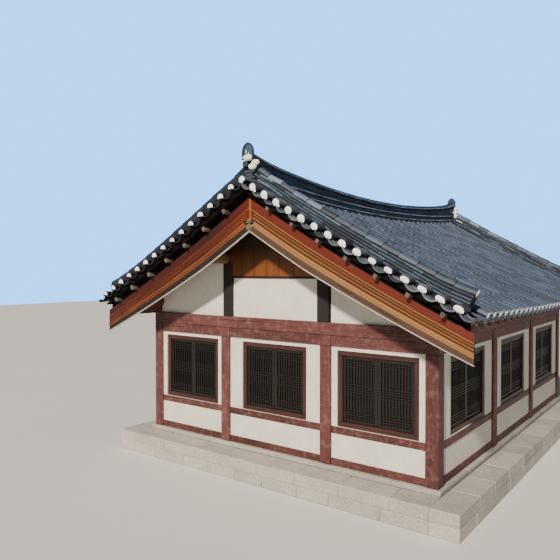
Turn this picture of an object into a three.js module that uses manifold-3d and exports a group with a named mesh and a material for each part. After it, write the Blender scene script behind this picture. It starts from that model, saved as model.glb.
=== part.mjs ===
// Hanok house: timber frame, plastered walls and a tiled gable roof on a stone platform.
// Millimetres, +Z up. The ridge runs along X, the street side is -Y, the yard side is +Y.
// The origin is on the ground, under the middle of the house.

import * as THREE from 'three';
import { mergeVertices } from 'three/addons/utils/BufferGeometryUtils.js';
import Module from 'manifold-3d';

const wasm = await Module();
wasm.setup();

// Driving dimensions
const fitGap = 0.3;
const halfRoofLength = 5200;
const halfRoofDepth = 4200;
const apexHeight = 5600;
const roofPitch = 0.6052;
const roofCurve = 1.49e-5;
const ridgeSag = 280;
const eaveSag = 60;

// Plan of the timber frame
const postSize = 230;
const longPosts = [-4200, -1400, 1400, 4200];
const gablePosts = [-3200, -1200, 1200, 3200];
const cornerX = longPosts[3];
const cornerY = gablePosts[3];
const halfPost = postSize / 2;

// Heights
const platformTop = 420;
const footingTop = 500;
const floorTop = 720;
const beamBottom = 2620;
const beamTop = 3032;
const panelTop = 3835;
const tieTop = 4230;

// Platform
const platformHalfX = 4850;
const platformHalfY = 3850;
const curbOutset = 170;
const stepLength = 1300;
const stepReach = 340;
const stepHeight = 210;
const thresholdReach = 360;
const thresholdTop = 590;

// Walls and what fills their openings
const wallOutset = 70;
const wallInset = 135;
const windowHead = 2550;
const windowSill = 1200;
const windowWidth = 1540;
const longWindowWidth = 1800;
const doorSill = floorTop;
const frameDepth = 110;
const frameWidth = 90;
const frameSetBack = 20;
const leafRail = 60;
const leafDepth = 44;
const paneDepth = 12;

// Roof layers
const tileDepth = 110;
const outriggerDepth = 290;
const deckDepth = 230;
const deckEnd = 3950;
const innerDeckX = 4944;
const tileLipX = 5120;
const kneeReach = 1200;
const slopeSteps = [0, 150, 500, kneeReach, 1900, 2600, 3300, deckEnd, halfRoofDepth];

// Roof timbers
const purlinRadius = 110;
const purlinSides = 16;
const purlinHalfLength = innerDeckX + 0.7;
const rafterRadius = 65;
const rafterSides = 8;
const rafterSpacing = 420;
const rafterCount = 24;
const rafterSink = 18;
const rafterEnd = 3900;
const bolsterWidth = 90;
const gableBoard = 100;
const upperPost = 200;
const tieBreadth = 180;
const crossbeamBottom = 2716;
const crossbeamTop = 3016;
const tieBottom = 3824;

// Ridges and bargeboards
const ridgeHalfWidth = 150;
const ridgeEndX = 4990;
const ridgeTopMiddle = 97;
const ridgeTopRise = 400;
const ridgeLiftStart = 4000;
const ridgeEndLift = 53;
const rakeCentreX = 4790;
const rakeHalfWidth = 120;
const rakeHeight = 250;
const boardInnerX = 4945;
const boardThickness = 45;
const boardHeight = 620;
const boardTailHeight = 470;
const boardReach = 4080;

// Height of the tile surface at x along the house and at s out from the ridge
const sagAt = (s) => ridgeSag + (eaveSag - ridgeSag) * s / halfRoofDepth;
const tileTop = (x, s) => apexHeight - roofPitch * s + roofCurve * s * s
  - sagAt(s) * (1 - (x / halfRoofLength) ** 2);

// Underside of the deck: straight from the ridge to the knee, and straight on to the eave
const deckAtRidge = tileTop(0, 0) - deckDepth;
const deckAtKnee = tileTop(0, kneeReach) - deckDepth;
const deckAtEave = tileTop(0, halfRoofDepth) - deckDepth;
const upperFall = (deckAtRidge - deckAtKnee) / kneeReach;
const lowerFall = (deckAtKnee - deckAtEave) / (halfRoofDepth - kneeReach);
const deckUnder = (s) => s < kneeReach
  ? deckAtRidge - upperFall * s
  : deckAtKnee - lowerFall * (s - kneeReach);
const upperAngle = Math.atan(upperFall);
const lowerAngle = Math.atan(lowerFall);

// Rafters: the centre line and the flat underside
const rafterCentre = (s) => deckUnder(s) - rafterRadius + rafterSink;
const rafterHalfHeight = (s) => rafterRadius / Math.cos(s < kneeReach ? upperAngle : lowerAngle);
const rafterUnder = (s) => rafterCentre(s) - rafterHalfHeight(s);

// Purlin centres, seated just under the rafters
const seatUnder = (s) => rafterUnder(s) - purlinRadius / Math.cos(lowerAngle) - fitGap;
const eavePurlinZ = seatUnder(cornerY);
const midPurlinZ = seatUnder(kneeReach);
const purlinCorner = Math.PI * 2 / purlinSides;
const ridgeReach = purlinRadius * Math.cos(upperAngle - purlinCorner);
const ridgePurlinZ = rafterUnder(0) - ridgeReach / Math.cos(upperAngle) - fitGap;

const colours = {
  stone: 0x9a968c,
  clayFloor: 0xb79a6a,
  paintedTimber: 0x7e5048,
  bareTimber: 0x8a542c,
  plaster: 0xe6e1d5,
  tile: 0x5d6670,
};
const finish = (color, roughness) => new THREE.MeshStandardMaterial({ color, roughness, metalness: 0 });
const stone = finish(colours.stone, 0.9);
const clayFloor = finish(colours.clayFloor, 0.7);
const paintedTimber = finish(colours.paintedTimber, 0.7);
const bareTimber = finish(colours.bareTimber, 0.75);
const plaster = finish(colours.plaster, 0.9);
const tile = finish(colours.tile, 0.6);

const house = new THREE.Group();

function addPiece(name, geometry, material, group = house) {
  const mesh = new THREE.Mesh(geometry, material);
  mesh.name = name;
  group.add(mesh);
  return mesh;
}

// Solids for joining and cutting
function toSolid(geometry) {
  const bare = geometry.clone();
  bare.deleteAttribute('normal');
  bare.deleteAttribute('uv');
  const merged = mergeVertices(bare, 1e-4);
  return new wasm.Manifold(new wasm.Mesh({
    numProp: 3,
    vertProperties: new Float32Array(merged.attributes.position.array),
    triVerts: new Uint32Array(merged.index.array),
  }));
}

function toGeometry(solid) {
  const mesh = solid.getMesh();
  const geometry = new THREE.BufferGeometry();
  geometry.setAttribute('position', new THREE.BufferAttribute(mesh.vertProperties, 3));
  geometry.setIndex(new THREE.BufferAttribute(mesh.triVerts, 1));
  geometry.computeVertexNormals();
  return geometry;
}

const joinAll = (solids) => solids.reduce((whole, next) => whole.add(next));
const cutAll = (solid, cutters) => cutters.reduce((whole, next) => whole.subtract(next), solid);

function block(x0, x1, y0, y1, z0, z1) {
  const geometry = new THREE.BoxGeometry(x1 - x0, y1 - y0, z1 - z0);
  geometry.translate((x0 + x1) / 2, (y0 + y1) / 2, (z0 + z1) / 2);
  return geometry;
}

const solidBlock = (...sides) => toSolid(block(...sides));

// A closed solid through a row of outlines that all have the same number of points.
// flat turns a point into the two coordinates in which the end outlines lie.
function loft(rings, flat) {
  const size = rings[0].length;
  const corners = rings.flat().flatMap((point) => point);
  const faces = [];
  for (let row = 0; row < rings.length - 1; row += 1) {
    for (let i = 0; i < size; i += 1) {
      const next = (i + 1) % size;
      const a = row * size + i;
      const b = row * size + next;
      const c = a + size;
      const d = b + size;
      faces.push(a, b, d, a, d, c);
    }
  }
  const last = (rings.length - 1) * size;
  const endFaces = (ring) => THREE.ShapeUtils.triangulateShape(
    ring.map((point) => new THREE.Vector2(...flat(point))), []);
  const turned = THREE.ShapeUtils.isClockWise(rings[0].map((p) => new THREE.Vector2(...flat(p))));
  for (const [a, b, c] of endFaces(rings[0])) {
    faces.push(...(turned ? [a, b, c] : [a, c, b]));
  }
  for (const [a, b, c] of endFaces(rings.at(-1))) {
    faces.push(...(turned ? [last + a, last + c, last + b] : [last + a, last + b, last + c]));
  }
  const geometry = new THREE.BufferGeometry();
  geometry.setAttribute('position', new THREE.Float32BufferAttribute(corners, 3));
  geometry.setIndex(signedVolume(corners, faces) < 0 ? faces.reverse() : faces);
  return geometry;
}

function signedVolume(corners, faces) {
  const at = (i) => new THREE.Vector3().fromArray(corners, 3 * i);
  let volume = 0;
  for (let i = 0; i < faces.length; i += 3) {
    volume += at(faces[i]).dot(at(faces[i + 1]).cross(at(faces[i + 2]))) / 6;
  }
  return volume;
}

// A flat outline in Y and Z, given thickness along X
function boardAcross(points, x0, x1) {
  const shape = new THREE.Shape(points.map(([y, z]) => new THREE.Vector2(y, z)));
  const geometry = new THREE.ExtrudeGeometry(shape, { depth: x1 - x0, bevelEnabled: false });
  geometry.applyMatrix4(new THREE.Matrix4().set(
    0, 0, 1, x0,
    1, 0, 0, 0,
    0, 1, 0, 0,
    0, 0, 0, 1));
  return geometry;
}

// Stone platform with its curb, the step up to it and the threshold stone
function makePlatform() {
  const outerX = cornerX + curbOutset;
  const outerY = cornerY + curbOutset;
  const innerX = cornerX - wallInset;
  const innerY = cornerY - wallInset;
  const base = solidBlock(-platformHalfX, platformHalfX, -platformHalfY, platformHalfY, 0, platformTop);
  const curb = solidBlock(-outerX, outerX, -outerY, outerY, platformTop, footingTop)
    .subtract(solidBlock(-innerX, innerX, -innerY, innerY, platformTop - 1, footingTop + 1));
  const step = solidBlock(-stepLength / 2, stepLength / 2, platformHalfY, platformHalfY + stepReach,
    0, stepHeight);
  const threshold = solidBlock(-stepLength / 2, stepLength / 2, outerY, outerY + thresholdReach,
    platformTop, thresholdTop);
  addPiece('platform', toGeometry(joinAll([base, curb, step, threshold])), stone);
}

// Raised floor: a solid bed of clay and flue stones
function makeFloor() {
  const halfX = cornerX - wallInset;
  const halfY = cornerY - wallInset;
  addPiece('floor', block(-halfX, halfX, -halfY, halfY, platformTop, floorTop), clayFloor);
}

function makePosts() {
  const height = beamBottom - footingTop;
  const place = (name, x, y) => {
    const post = addPiece(name, new THREE.BoxGeometry(postSize, postSize, height), paintedTimber);
    post.position.set(x, y, footingTop + height / 2);
  };
  longPosts.forEach((x, i) => {
    place(`street_post_${i + 1}`, x, -cornerY);
    place(`yard_post_${i + 1}`, x, cornerY);
  });
  gablePosts.slice(1, 3).forEach((y, i) => {
    place(`left_post_${i + 1}`, -cornerX, y);
    place(`right_post_${i + 1}`, cornerX, y);
  });
}

// One wall in its own frame: X along it, -Y outward, the post line at Y = 0
function wallGeometry(posts, liningHalf, openings) {
  const half = posts.at(-1) - halfPost;
  const outline = [[-half, -wallOutset]];
  for (const place of posts.slice(1, -1)) {
    outline.push(
      [place - halfPost, -wallOutset], [place - halfPost, halfPost],
      [place + halfPost, halfPost], [place + halfPost, -wallOutset]);
  }
  outline.push([half, -wallOutset], [half, halfPost]);
  if (liningHalf < half) {
    outline.push([liningHalf, halfPost], [liningHalf, wallInset]);
    outline.push([-liningHalf, wallInset], [-liningHalf, halfPost]);
  } else {
    outline.push([half, wallInset], [-half, wallInset]);
  }
  outline.push([-half, halfPost]);
  const shape = new THREE.Shape(outline.map(([x, y]) => new THREE.Vector2(x, y)));
  const geometry = new THREE.ExtrudeGeometry(shape, {
    depth: beamBottom - footingTop, bevelEnabled: false,
  });
  geometry.translate(0, 0, footingTop);
  const holes = openings.map(({ centre, width, sill }) => solidBlock(
    centre - width / 2, centre + width / 2, -postSize, postSize, sill, windowHead));
  return toGeometry(cutAll(toSolid(geometry), holes));
}

// Frame, two leaves and their panes as one closed piece, centred on its own middle
function casementGeometry(width, height) {
  const halfW = width / 2 - fitGap;
  const halfH = height / 2 - fitGap;
  const innerW = halfW - frameWidth;
  const innerH = halfH - frameWidth;
  const outer = solidBlock(-halfW, halfW, -frameDepth / 2, frameDepth / 2, -halfH, halfH);
  const hollow = solidBlock(-innerW, innerW, -frameDepth, frameDepth, -innerH, innerH);
  const leaves = solidBlock(-innerW - 1, innerW + 1, -leafDepth / 2, leafDepth / 2,
    -innerH - 1, innerH + 1);
  const sight = (x0, x1, front) => solidBlock(x0, x1, front ? -leafDepth : paneDepth / 2,
    front ? -paneDepth / 2 : leafDepth, -innerH + leafRail, innerH - leafRail);
  const cuts = [true, false].flatMap((front) => [
    sight(-innerW + leafRail, -leafRail, front),
    sight(leafRail, innerW - leafRail, front),
  ]);
  return toGeometry(outer.subtract(hollow).add(cutAll(leaves, cuts)));
}

function makeSide(side, posts, liningHalf, openings, offset, turn) {
  const group = new THREE.Group();
  group.position.set(offset[0], offset[1], 0);
  group.rotation.z = turn;
  house.add(group);
  addPiece(`${side}_wall`, wallGeometry(posts, liningHalf, openings), plaster, group);
  for (const { name, centre, width, sill } of openings) {
    const geometry = casementGeometry(width, windowHead - sill);
    const piece = addPiece(`${side}_${name}`, geometry, paintedTimber, group);
    piece.position.set(centre, frameSetBack + frameDepth / 2 - wallOutset, (windowHead + sill) / 2);
  }
}

function makeWalls() {
  const bayCentre = (posts, bay) => (posts[bay] + posts[bay + 1]) / 2;
  const windows = (posts, width) => [0, 1, 2].map((bay) => ({
    name: `window_${bay + 1}`, centre: bayCentre(posts, bay), width, sill: windowSill,
  }));
  const longOpenings = windows(longPosts, longWindowWidth);
  const yardOpenings = windows(longPosts, longWindowWidth);
  yardOpenings[1] = { name: 'door', centre: 0, width: windowWidth, sill: doorSill };
  const gableOpenings = windows(gablePosts, windowWidth);
  const longLining = cornerX - halfPost;
  const gableLining = cornerY - wallInset;
  makeSide('street', longPosts, longLining, longOpenings, [0, -cornerY], 0);
  makeSide('yard', longPosts, longLining, yardOpenings, [0, cornerY], Math.PI);
  makeSide('left', gablePosts, gableLining, gableOpenings, [-cornerX, 0], -Math.PI / 2);
  makeSide('right', gablePosts, gableLining, gableOpenings, [cornerX, 0], Math.PI / 2);
}

// A round timber along the house, turned so that one of its flats faces up the slope
function purlinGeometry(y, z, turn, radius, halfLength) {
  const geometry = new THREE.CylinderGeometry(radius, radius, 2 * halfLength, purlinSides);
  geometry.rotateZ(Math.PI / 2);
  geometry.rotateX(turn);
  geometry.translate(0, y, z);
  return geometry;
}

const flatRadius = purlinRadius / Math.cos(Math.PI / purlinSides);
const flatTurn = (side) => -side * lowerAngle + Math.PI / purlinSides;
const eavePurlin = (side, extra = 0) => toSolid(purlinGeometry(
  side * cornerY, eavePurlinZ, flatTurn(side), flatRadius + extra, purlinHalfLength + extra));
const midPurlin = (side, extra = 0) => toSolid(purlinGeometry(
  side * kneeReach, midPurlinZ, flatTurn(side), flatRadius + extra, purlinHalfLength + extra));
const ridgePurlin = (extra = 0) => toSolid(purlinGeometry(
  0, ridgePurlinZ, 0, purlinRadius + extra, purlinHalfLength + extra));

const bolster = (side, extra = 0) => solidBlock(-purlinHalfLength, purlinHalfLength,
  side * cornerY - bolsterWidth / 2 - extra, side * cornerY + bolsterWidth / 2 + extra,
  beamTop, eavePurlinZ);

// Wall plate of a long side: the lintel, the bolster on it and the eave purlin
function makePlates() {
  for (const [name, side] of [['street_plate', -1], ['yard_plate', 1]]) {
    const lintel = solidBlock(-cornerX - halfPost, cornerX + halfPost,
      side * cornerY - halfPost, side * cornerY + halfPost, beamBottom, beamTop);
    addPiece(name, toGeometry(joinAll([lintel, bolster(side), eavePurlin(side)])), paintedTimber);
  }
}

// Purlins, the two crossbeams inside and the struts that carry the purlins
function makeRoofFrame() {
  const timbers = [ridgePurlin(), midPurlin(-1), midPurlin(1)];
  const halfTie = tieBreadth / 2;
  const halfUpper = upperPost / 2;
  const innerFace = cornerY - halfPost;
  for (const x of longPosts.slice(1, 3)) {
    timbers.push(
      solidBlock(x - halfPost, x + halfPost, -innerFace, innerFace, crossbeamBottom, crossbeamTop),
      solidBlock(x - halfTie, x + halfTie, -kneeReach, kneeReach, tieBottom, midPurlinZ),
      solidBlock(x - halfTie, x + halfTie, -halfTie, halfTie, tieBottom, ridgePurlinZ));
    for (const side of [-1, 1]) {
      const y = side * kneeReach;
      timbers.push(solidBlock(x - halfUpper, x + halfUpper, y - halfUpper, y + halfUpper,
        crossbeamTop - 1, midPurlinZ));
    }
  }
  addPiece('roof_frame', toGeometry(joinAll(timbers)), bareTimber);
}

// The roof deck with its clay and tiles on one side of the ridge
function slopeGeometry(side) {
  const outline = (x, under) => {
    const at = (s, z) => [x, side * s, z];
    const lower = slopeSteps.filter((s) => s <= deckEnd).reverse();
    return [
      ...slopeSteps.map((s) => at(s, tileTop(x, s))),
      at(halfRoofDepth, tileTop(x, halfRoofDepth) - tileDepth),
      at(deckEnd, tileTop(x, deckEnd) - tileDepth),
      ...lower.map((s) => at(s, under(x, s))),
    ];
  };
  const lip = (x, s) => tileTop(x, s) - tileDepth - 2;
  const outrigger = (x, s) => tileTop(x, s) - outriggerDepth;
  const field = (x, s) => deckUnder(s);
  const half = [
    [halfRoofLength, lip], [tileLipX, lip], [tileLipX - 1, outrigger],
    [rakeCentreX + 154.7, outrigger], [innerDeckX, field],
    [rakeCentreX + rakeHalfWidth, field], [rakeCentreX - rakeHalfWidth, field],
    [3900, field], [2900, field], [1900, field], [900, field],
  ];
  const rings = [
    ...half.map(([x, under]) => outline(-x, under)),
    outline(0, field),
    ...half.slice().reverse().map(([x, under]) => outline(x, under)),
  ];
  return loft(rings, ([, y, z]) => [y, z]);
}

// A rafter log: one length from the ridge to the knee and one from there to the eave
function rafterGeometry(x, side) {
  const cornerRadius = 1 / Math.cos(Math.PI / rafterSides);
  const rings = [10, kneeReach, rafterEnd].map((s) => {
    const ring = [];
    for (let i = 0; i < rafterSides; i += 1) {
      const angle = (i + 0.5) * 2 * Math.PI / rafterSides;
      ring.push([
        x + rafterRadius * cornerRadius * Math.cos(angle),
        side * s,
        rafterCentre(s) + rafterHalfHeight(s) * cornerRadius * Math.sin(angle),
      ]);
    }
    return ring;
  });
  return loft(rings, ([px, , pz]) => [px, pz]);
}

const slopes = new Map([-1, 1].map((side) => [side, toSolid(slopeGeometry(side))]));

function makeRoofs() {
  for (const [name, side] of [['street_roof', -1], ['yard_roof', 1]]) {
    const parts = [slopes.get(side)];
    for (let i = 0; i < rafterCount; i += 1) {
      const x = (i - (rafterCount - 1) / 2) * rafterSpacing;
      parts.push(toSolid(rafterGeometry(x, side)));
    }
    addPiece(name, toGeometry(joinAll(parts)), tile);
  }
}

const shiftedSlopes = (dz) => [-1, 1].map((side) => slopes.get(side).translate([0, 0, dz]));

// Gable end: the beam, the plastered and boarded panel, short posts, tie beam and king strut
function makeGables() {
  const panelHalf = cornerY - bolsterWidth / 2 - 5;
  const inDeck = 80;
  const outline = [
    [-panelHalf, beamTop], [panelHalf, beamTop],
    [panelHalf, deckUnder(panelHalf) + inDeck], [kneeReach, deckUnder(kneeReach) + inDeck],
    [0, deckUnder(0) + inDeck],
    [-kneeReach, deckUnder(kneeReach) + inDeck], [-panelHalf, deckUnder(panelHalf) + inDeck],
  ];
  for (const [name, side] of [['left_gable', -1], ['right_gable', 1]]) {
    const x = side * cornerX;
    const halfTie = tieBreadth / 2;
    const halfUpper = upperPost / 2;
    const halfBoard = gableBoard / 2;
    const innerFace = cornerY - halfPost;
    const timbers = [
      toSolid(boardAcross(outline, x - halfBoard, x + halfBoard)),
      solidBlock(x - halfPost, x + halfPost, -innerFace, innerFace, beamBottom, beamTop),
      solidBlock(x - halfTie, x + halfTie, -kneeReach, kneeReach, panelTop, tieTop),
      solidBlock(x - halfTie, x + halfTie, -halfTie, halfTie, tieTop - 1, ridgePurlinZ),
    ];
    for (const post of gablePosts.slice(1, 3)) {
      timbers.push(solidBlock(x - halfUpper, x + halfUpper, post - halfUpper, post + halfUpper,
        beamTop - 1, midPurlinZ));
    }
    const cutters = [
      ...shiftedSlopes(-fitGap), ridgePurlin(fitGap),
      ...[-1, 1].flatMap((y) => [midPurlin(y, fitGap), eavePurlin(y, fitGap), bolster(y, fitGap)]),
    ];
    addPiece(name, toGeometry(cutAll(joinAll(timbers), cutters)), bareTimber);
  }
}

// Main ridge: courses of stacked tiles under a round cap, rising to both ends
// and turning up a little more sharply in the last metre
const liftShare = (x) => Math.max(0, Math.abs(x) - ridgeLiftStart) / (ridgeEndX - ridgeLiftStart);
const ridgeTop = (x) => apexHeight + ridgeTopMiddle + ridgeTopRise * (x / halfRoofLength) ** 2
  + ridgeEndLift * liftShare(x) ** 2;

function makeMainRidge() {
  const stations = [0, 900, 1900, 2900, 3900, 4300, 4670, ridgeEndX];
  const outline = (x) => {
    const top = ridgeTop(x);
    const foot = tileTop(x, ridgeHalfWidth);
    const half = [
      [ridgeHalfWidth, foot - 60], [ridgeHalfWidth, foot + 90], [115, foot + 100],
      [115, top - 80], [80, top - 70], [55, top - 18],
    ];
    return [
      ...half.map(([y, z]) => [x, y, z]),
      [x, 0, top],
      ...half.slice().reverse().map(([y, z]) => [x, -y, z]),
    ];
  };
  const rings = [...stations.slice(1).reverse().map((x) => outline(-x)), ...stations.map(outline)];
  const solid = toSolid(loft(rings, ([, y, z]) => [y, z]));
  addPiece('main_ridge', toGeometry(cutAll(solid, shiftedSlopes(fitGap))), tile);
}

// The pointed upright tile that closes each end of the main ridge
function makeRidgeEnds() {
  const foot = apexHeight + 363;
  const top = apexHeight + 667;
  const halfWidth = 130;
  const shape = new THREE.Shape();
  shape.moveTo(-halfWidth, foot);
  shape.lineTo(halfWidth, foot);
  shape.lineTo(halfWidth, foot + 120);
  shape.quadraticCurveTo(halfWidth - 5, top - 70, 0, top);
  shape.quadraticCurveTo(-halfWidth + 5, top - 70, -halfWidth, foot + 120);
  const points = shape.getPoints(5).slice(0, -1).map((p) => [p.x, p.y]);
  const thickness = 50;
  const near = ridgeEndX + fitGap;
  addPiece('left_ridge_end', boardAcross(points, -near - thickness, -near), tile);
  addPiece('right_ridge_end', boardAcross(points, near, near + thickness), tile);
}

// Rake ridges: stacked tiles running down each slope beside the gable edge
function makeRakeRidges() {
  const outline = (x, side, s) => {
    const base = tileTop(x, s);
    const half = [[rakeHalfWidth, -60], [rakeHalfWidth, 70], [92, 78], [92, 180], [70, 188], [45, 238]];
    return [
      ...half.map(([w, h]) => [x + w, side * s, base + h]),
      [x, side * s, base + rakeHeight],
      ...half.slice().reverse().map(([w, h]) => [x - w, side * s, base + h]),
    ];
  };
  const steps = [ridgeHalfWidth + fitGap, 500, kneeReach, 1900, 2600, 3300, deckEnd];
  for (const [sideName, side] of [['street', -1], ['yard', 1]]) {
    for (const [endName, end] of [['left', -1], ['right', 1]]) {
      const rings = steps.map((s) => outline(end * rakeCentreX, side, s));
      const solid = toSolid(loft(rings, ([x, , z]) => [x, z]));
      addPiece(`${sideName}_${endName}_rake_ridge`,
        toGeometry(cutAll(solid, shiftedSlopes(fitGap))), tile);
    }
  }
}

// Bargeboards: the pair of boards that meet at the top of each gable
function makeBargeboards() {
  const reach = [...slopeSteps.filter((s) => s <= deckEnd), boardReach];
  const upper = (s) => tileTop(boardInnerX, s) - outriggerDepth - fitGap;
  const height = (s) => boardHeight + (boardTailHeight - boardHeight) * Math.max(0, s - kneeReach)
    / (boardReach - kneeReach);
  const lower = (s) => upper(s) - height(s);
  const outline = [
    ...reach.map((s) => [s, upper(s)]),
    ...reach.slice().reverse().map((s) => [s, lower(s)]),
    ...reach.slice(1).map((s) => [-s, lower(s)]),
    ...reach.slice(1).reverse().map((s) => [-s, upper(s)]),
  ];
  const outer = boardInnerX + boardThickness;
  addPiece('left_bargeboards', boardAcross(outline, -outer, -boardInnerX), bareTimber);
  addPiece('right_bargeboards', boardAcross(outline, boardInnerX, outer), bareTimber);
}

makePlatform();
makeFloor();
makePosts();
makeWalls();
makePlates();
makeGables();
makeRoofFrame();
makeRoofs();
makeMainRidge();
makeRidgeEnds();
makeRakeRidges();
makeBargeboards();

export default house;
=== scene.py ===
# %% [markdown]
# A hanok house
#
# A hanok is a timber-framed house under a heavy roof of smoke-fired clay tiles. This
# lesson dresses a measured frame of one: the frame holds the sizes, and each cell
# here adds one real piece or one real finish. Everything is in metres, +Z is up, the
# ridge runs along X, the street side is -Y and the yard side is +Y.

# %% Load the measured frame
import math

import bmesh
import bpy
import numpy as np
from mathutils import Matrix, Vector


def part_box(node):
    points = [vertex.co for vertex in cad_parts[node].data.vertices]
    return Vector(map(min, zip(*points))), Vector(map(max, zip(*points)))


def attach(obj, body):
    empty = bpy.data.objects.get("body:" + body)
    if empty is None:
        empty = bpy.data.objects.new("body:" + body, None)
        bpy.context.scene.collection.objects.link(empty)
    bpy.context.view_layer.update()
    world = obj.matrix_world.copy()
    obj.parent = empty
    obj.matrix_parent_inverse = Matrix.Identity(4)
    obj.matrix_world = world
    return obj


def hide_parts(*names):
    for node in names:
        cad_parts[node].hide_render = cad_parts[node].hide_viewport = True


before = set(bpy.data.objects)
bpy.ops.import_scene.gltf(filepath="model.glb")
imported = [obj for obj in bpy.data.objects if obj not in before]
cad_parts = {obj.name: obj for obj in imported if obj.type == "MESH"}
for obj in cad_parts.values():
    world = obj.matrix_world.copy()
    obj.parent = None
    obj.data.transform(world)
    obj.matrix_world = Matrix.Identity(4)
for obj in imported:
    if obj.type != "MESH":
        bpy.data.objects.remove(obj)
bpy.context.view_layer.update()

rng = np.random.default_rng(7)
SIDES = (("street", -1), ("yard", 1))
ENDS = (("left", -1), ("right", 1))

# %% [markdown]
# The photograph's viewing angle
#
# The picture looks at the near gable and the street side from a point a little above
# the eaves, ten metres from the near corner. Blender could aim a camera with a
# constraint, but two measured angles say more. A lens of about 37 mm on a 36 mm wide
# sensor gives the same spread, and the camera is tilted down by less than a degree.

# %% Camera
PHOTO_WIDTH = 560
FOCAL_PIXELS = 581.06
SENSOR = 36.0
EYE = Vector((-13.0555, -6.7876, 3.9436))
YAW = math.radians(37.007)
TILT = math.radians(-0.861)

camera_data = bpy.data.cameras.new("photo_camera")
camera_data.sensor_width = SENSOR
camera_data.lens = SENSOR * FOCAL_PIXELS / PHOTO_WIDTH
camera = bpy.data.objects.new("photo_camera", camera_data)
bpy.context.collection.objects.link(camera)
camera.location = EYE
plan = math.cos(TILT)
view_line = Vector((math.cos(YAW) * plan, math.sin(YAW) * plan, math.sin(TILT)))
camera.rotation_euler = view_line.to_track_quat("-Z", "Y").to_euler()
bpy.context.scene.camera = camera
print("lens", round(camera_data.lens, 2), "mm")

# %% [markdown]
# The shape of the roof
#
# The tile surface falls from the ridge in a slightly hollow curve, and the ridge sags
# between the two gables. A bent grid would show that shape, but nothing else could be
# set on it exactly. One function gives its height anywhere instead, so every tile,
# board and ridge course can follow it.

# %% Roof surface
roof_low, roof_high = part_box("street_roof")
HALF_LENGTH = roof_high.x
HALF_DEPTH = -roof_low.y
APEX = 5.6
PITCH = 0.6052
HOLLOW = 0.0149
RIDGE_SAG = 0.28
EAVE_SAG = 0.06


def tile_height(x, s):
    """Height of the tile surface at x along the house, s out from the ridge."""
    sag = RIDGE_SAG + (EAVE_SAG - RIDGE_SAG) * s / HALF_DEPTH
    return APEX - PITCH * s + HOLLOW * s * s - sag * (1 - (x / HALF_LENGTH) ** 2)


print("roof", round(2 * HALF_LENGTH, 2), "m long and", round(2 * HALF_DEPTH, 2), "m deep")

# %% [markdown]
# Laying things on a slope
#
# A roofer spaces the tiles down the slope, not on the plan. So the slope is measured
# once, as a table of its length, and read back by interpolation. A template is laid
# by three numbers for each corner: x along the house, run down the slope, and up
# square to it.

# %% Laying on a slope
slope_s = np.linspace(0, HALF_DEPTH, 200)
slope_z = tile_height(HALF_LENGTH, slope_s)
slope_run = np.concatenate([[0], np.cumsum(np.hypot(np.diff(slope_s), np.diff(slope_z)))])
SLOPE_LENGTH = slope_run[-1]
PAST_EAVE, PAST_RIDGE = 0.9, 0.86
STEP = 0.01


def run_at(s):
    """Length down the slope to a place s out from the ridge."""
    return float(np.interp(s, slope_s, slope_run))


def lay(side, x, run, up):
    """Points on one slope: side -1 street, 1 yard; run is measured down the slope."""
    s = np.interp(run, slope_run, slope_s) + np.clip(run - SLOPE_LENGTH, 0, None) * PAST_EAVE
    s = np.where(run < 0, run * PAST_RIDGE, s)
    z = tile_height(x, s)
    fall = (tile_height(x, s + STEP) - z) / STEP
    length = np.sqrt(1 + fall * fall)
    return np.stack([x + 0 * s, side * (s - up * fall / length), z + up / length], axis=-1)


print("slope length", round(float(SLOPE_LENGTH), 3))

# %% [markdown]
# Small closed plates
#
# Nearly everything on this house is a long thing with a constant section: a tile, a
# board, a post, a log. Blender could make them with curves or modifiers, but there
# are thousands, so one template is made once and stamped with numpy. A plate has an
# upper line and a lower line with the same number of points, joined along its length.

# %% Plates


def plate(upper, lower, stations, lift=None):
    """Corners (along, across, up) and four-sided faces of one closed plate."""
    upper, lower = np.asarray(upper, float), np.asarray(lower, float)
    count = len(upper)
    corners = []
    for along, rise in zip(stations, lift or [0.0] * len(stations)):
        for line in (upper, lower):
            corners.extend((along, across, up + rise) for across, up in line)
    faces = []
    ring = 2 * count
    for row in range(len(stations) - 1):
        a, b = row * ring, (row + 1) * ring
        for i in range(count - 1):
            faces.append((a + i, a + i + 1, b + i + 1, b + i))
            faces.append((a + count + i, b + count + i, b + count + i + 1, a + count + i + 1))
        faces.append((a, b, b + count, a + count))
        faces.append((a + count - 1, a + ring - 1, b + ring - 1, b + count - 1))
    last = (len(stations) - 1) * ring
    for i in range(count - 1):
        faces.append((i, count + i, count + i + 1, i + 1))
        faces.append((last + i, last + i + 1, last + count + i + 1, last + count + i))
    return np.array(corners), np.array(faces)


print("a plank has", len(plate([(0, 1), (1, 1)], [(0, 0), (1, 0)], [0, 1])[1]), "faces")

# %% [markdown]
# Batches
#
# A roof with thousands of tiles as objects of their own would be slow. So all the
# tiles of one kind are gathered in a batch that becomes one mesh. Each shape in it
# keeps two things of its own for the materials: a tone, as no two tiles or boards are
# equally dark, and grain coordinates, which run along it however it is turned.

# %% Batches
GRAIN_SPAN = 50.0
TONES = 0.2, 0.8


def shifted(grain):
    """Grain coordinates moved to a chance place, so that no two shapes look the same."""
    return grain + rng.uniform(0, GRAIN_SPAN, 3)


def some_tone(tone):
    """The tone that is given, or else a chance one."""
    return rng.uniform(*TONES) if tone is None else tone


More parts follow.
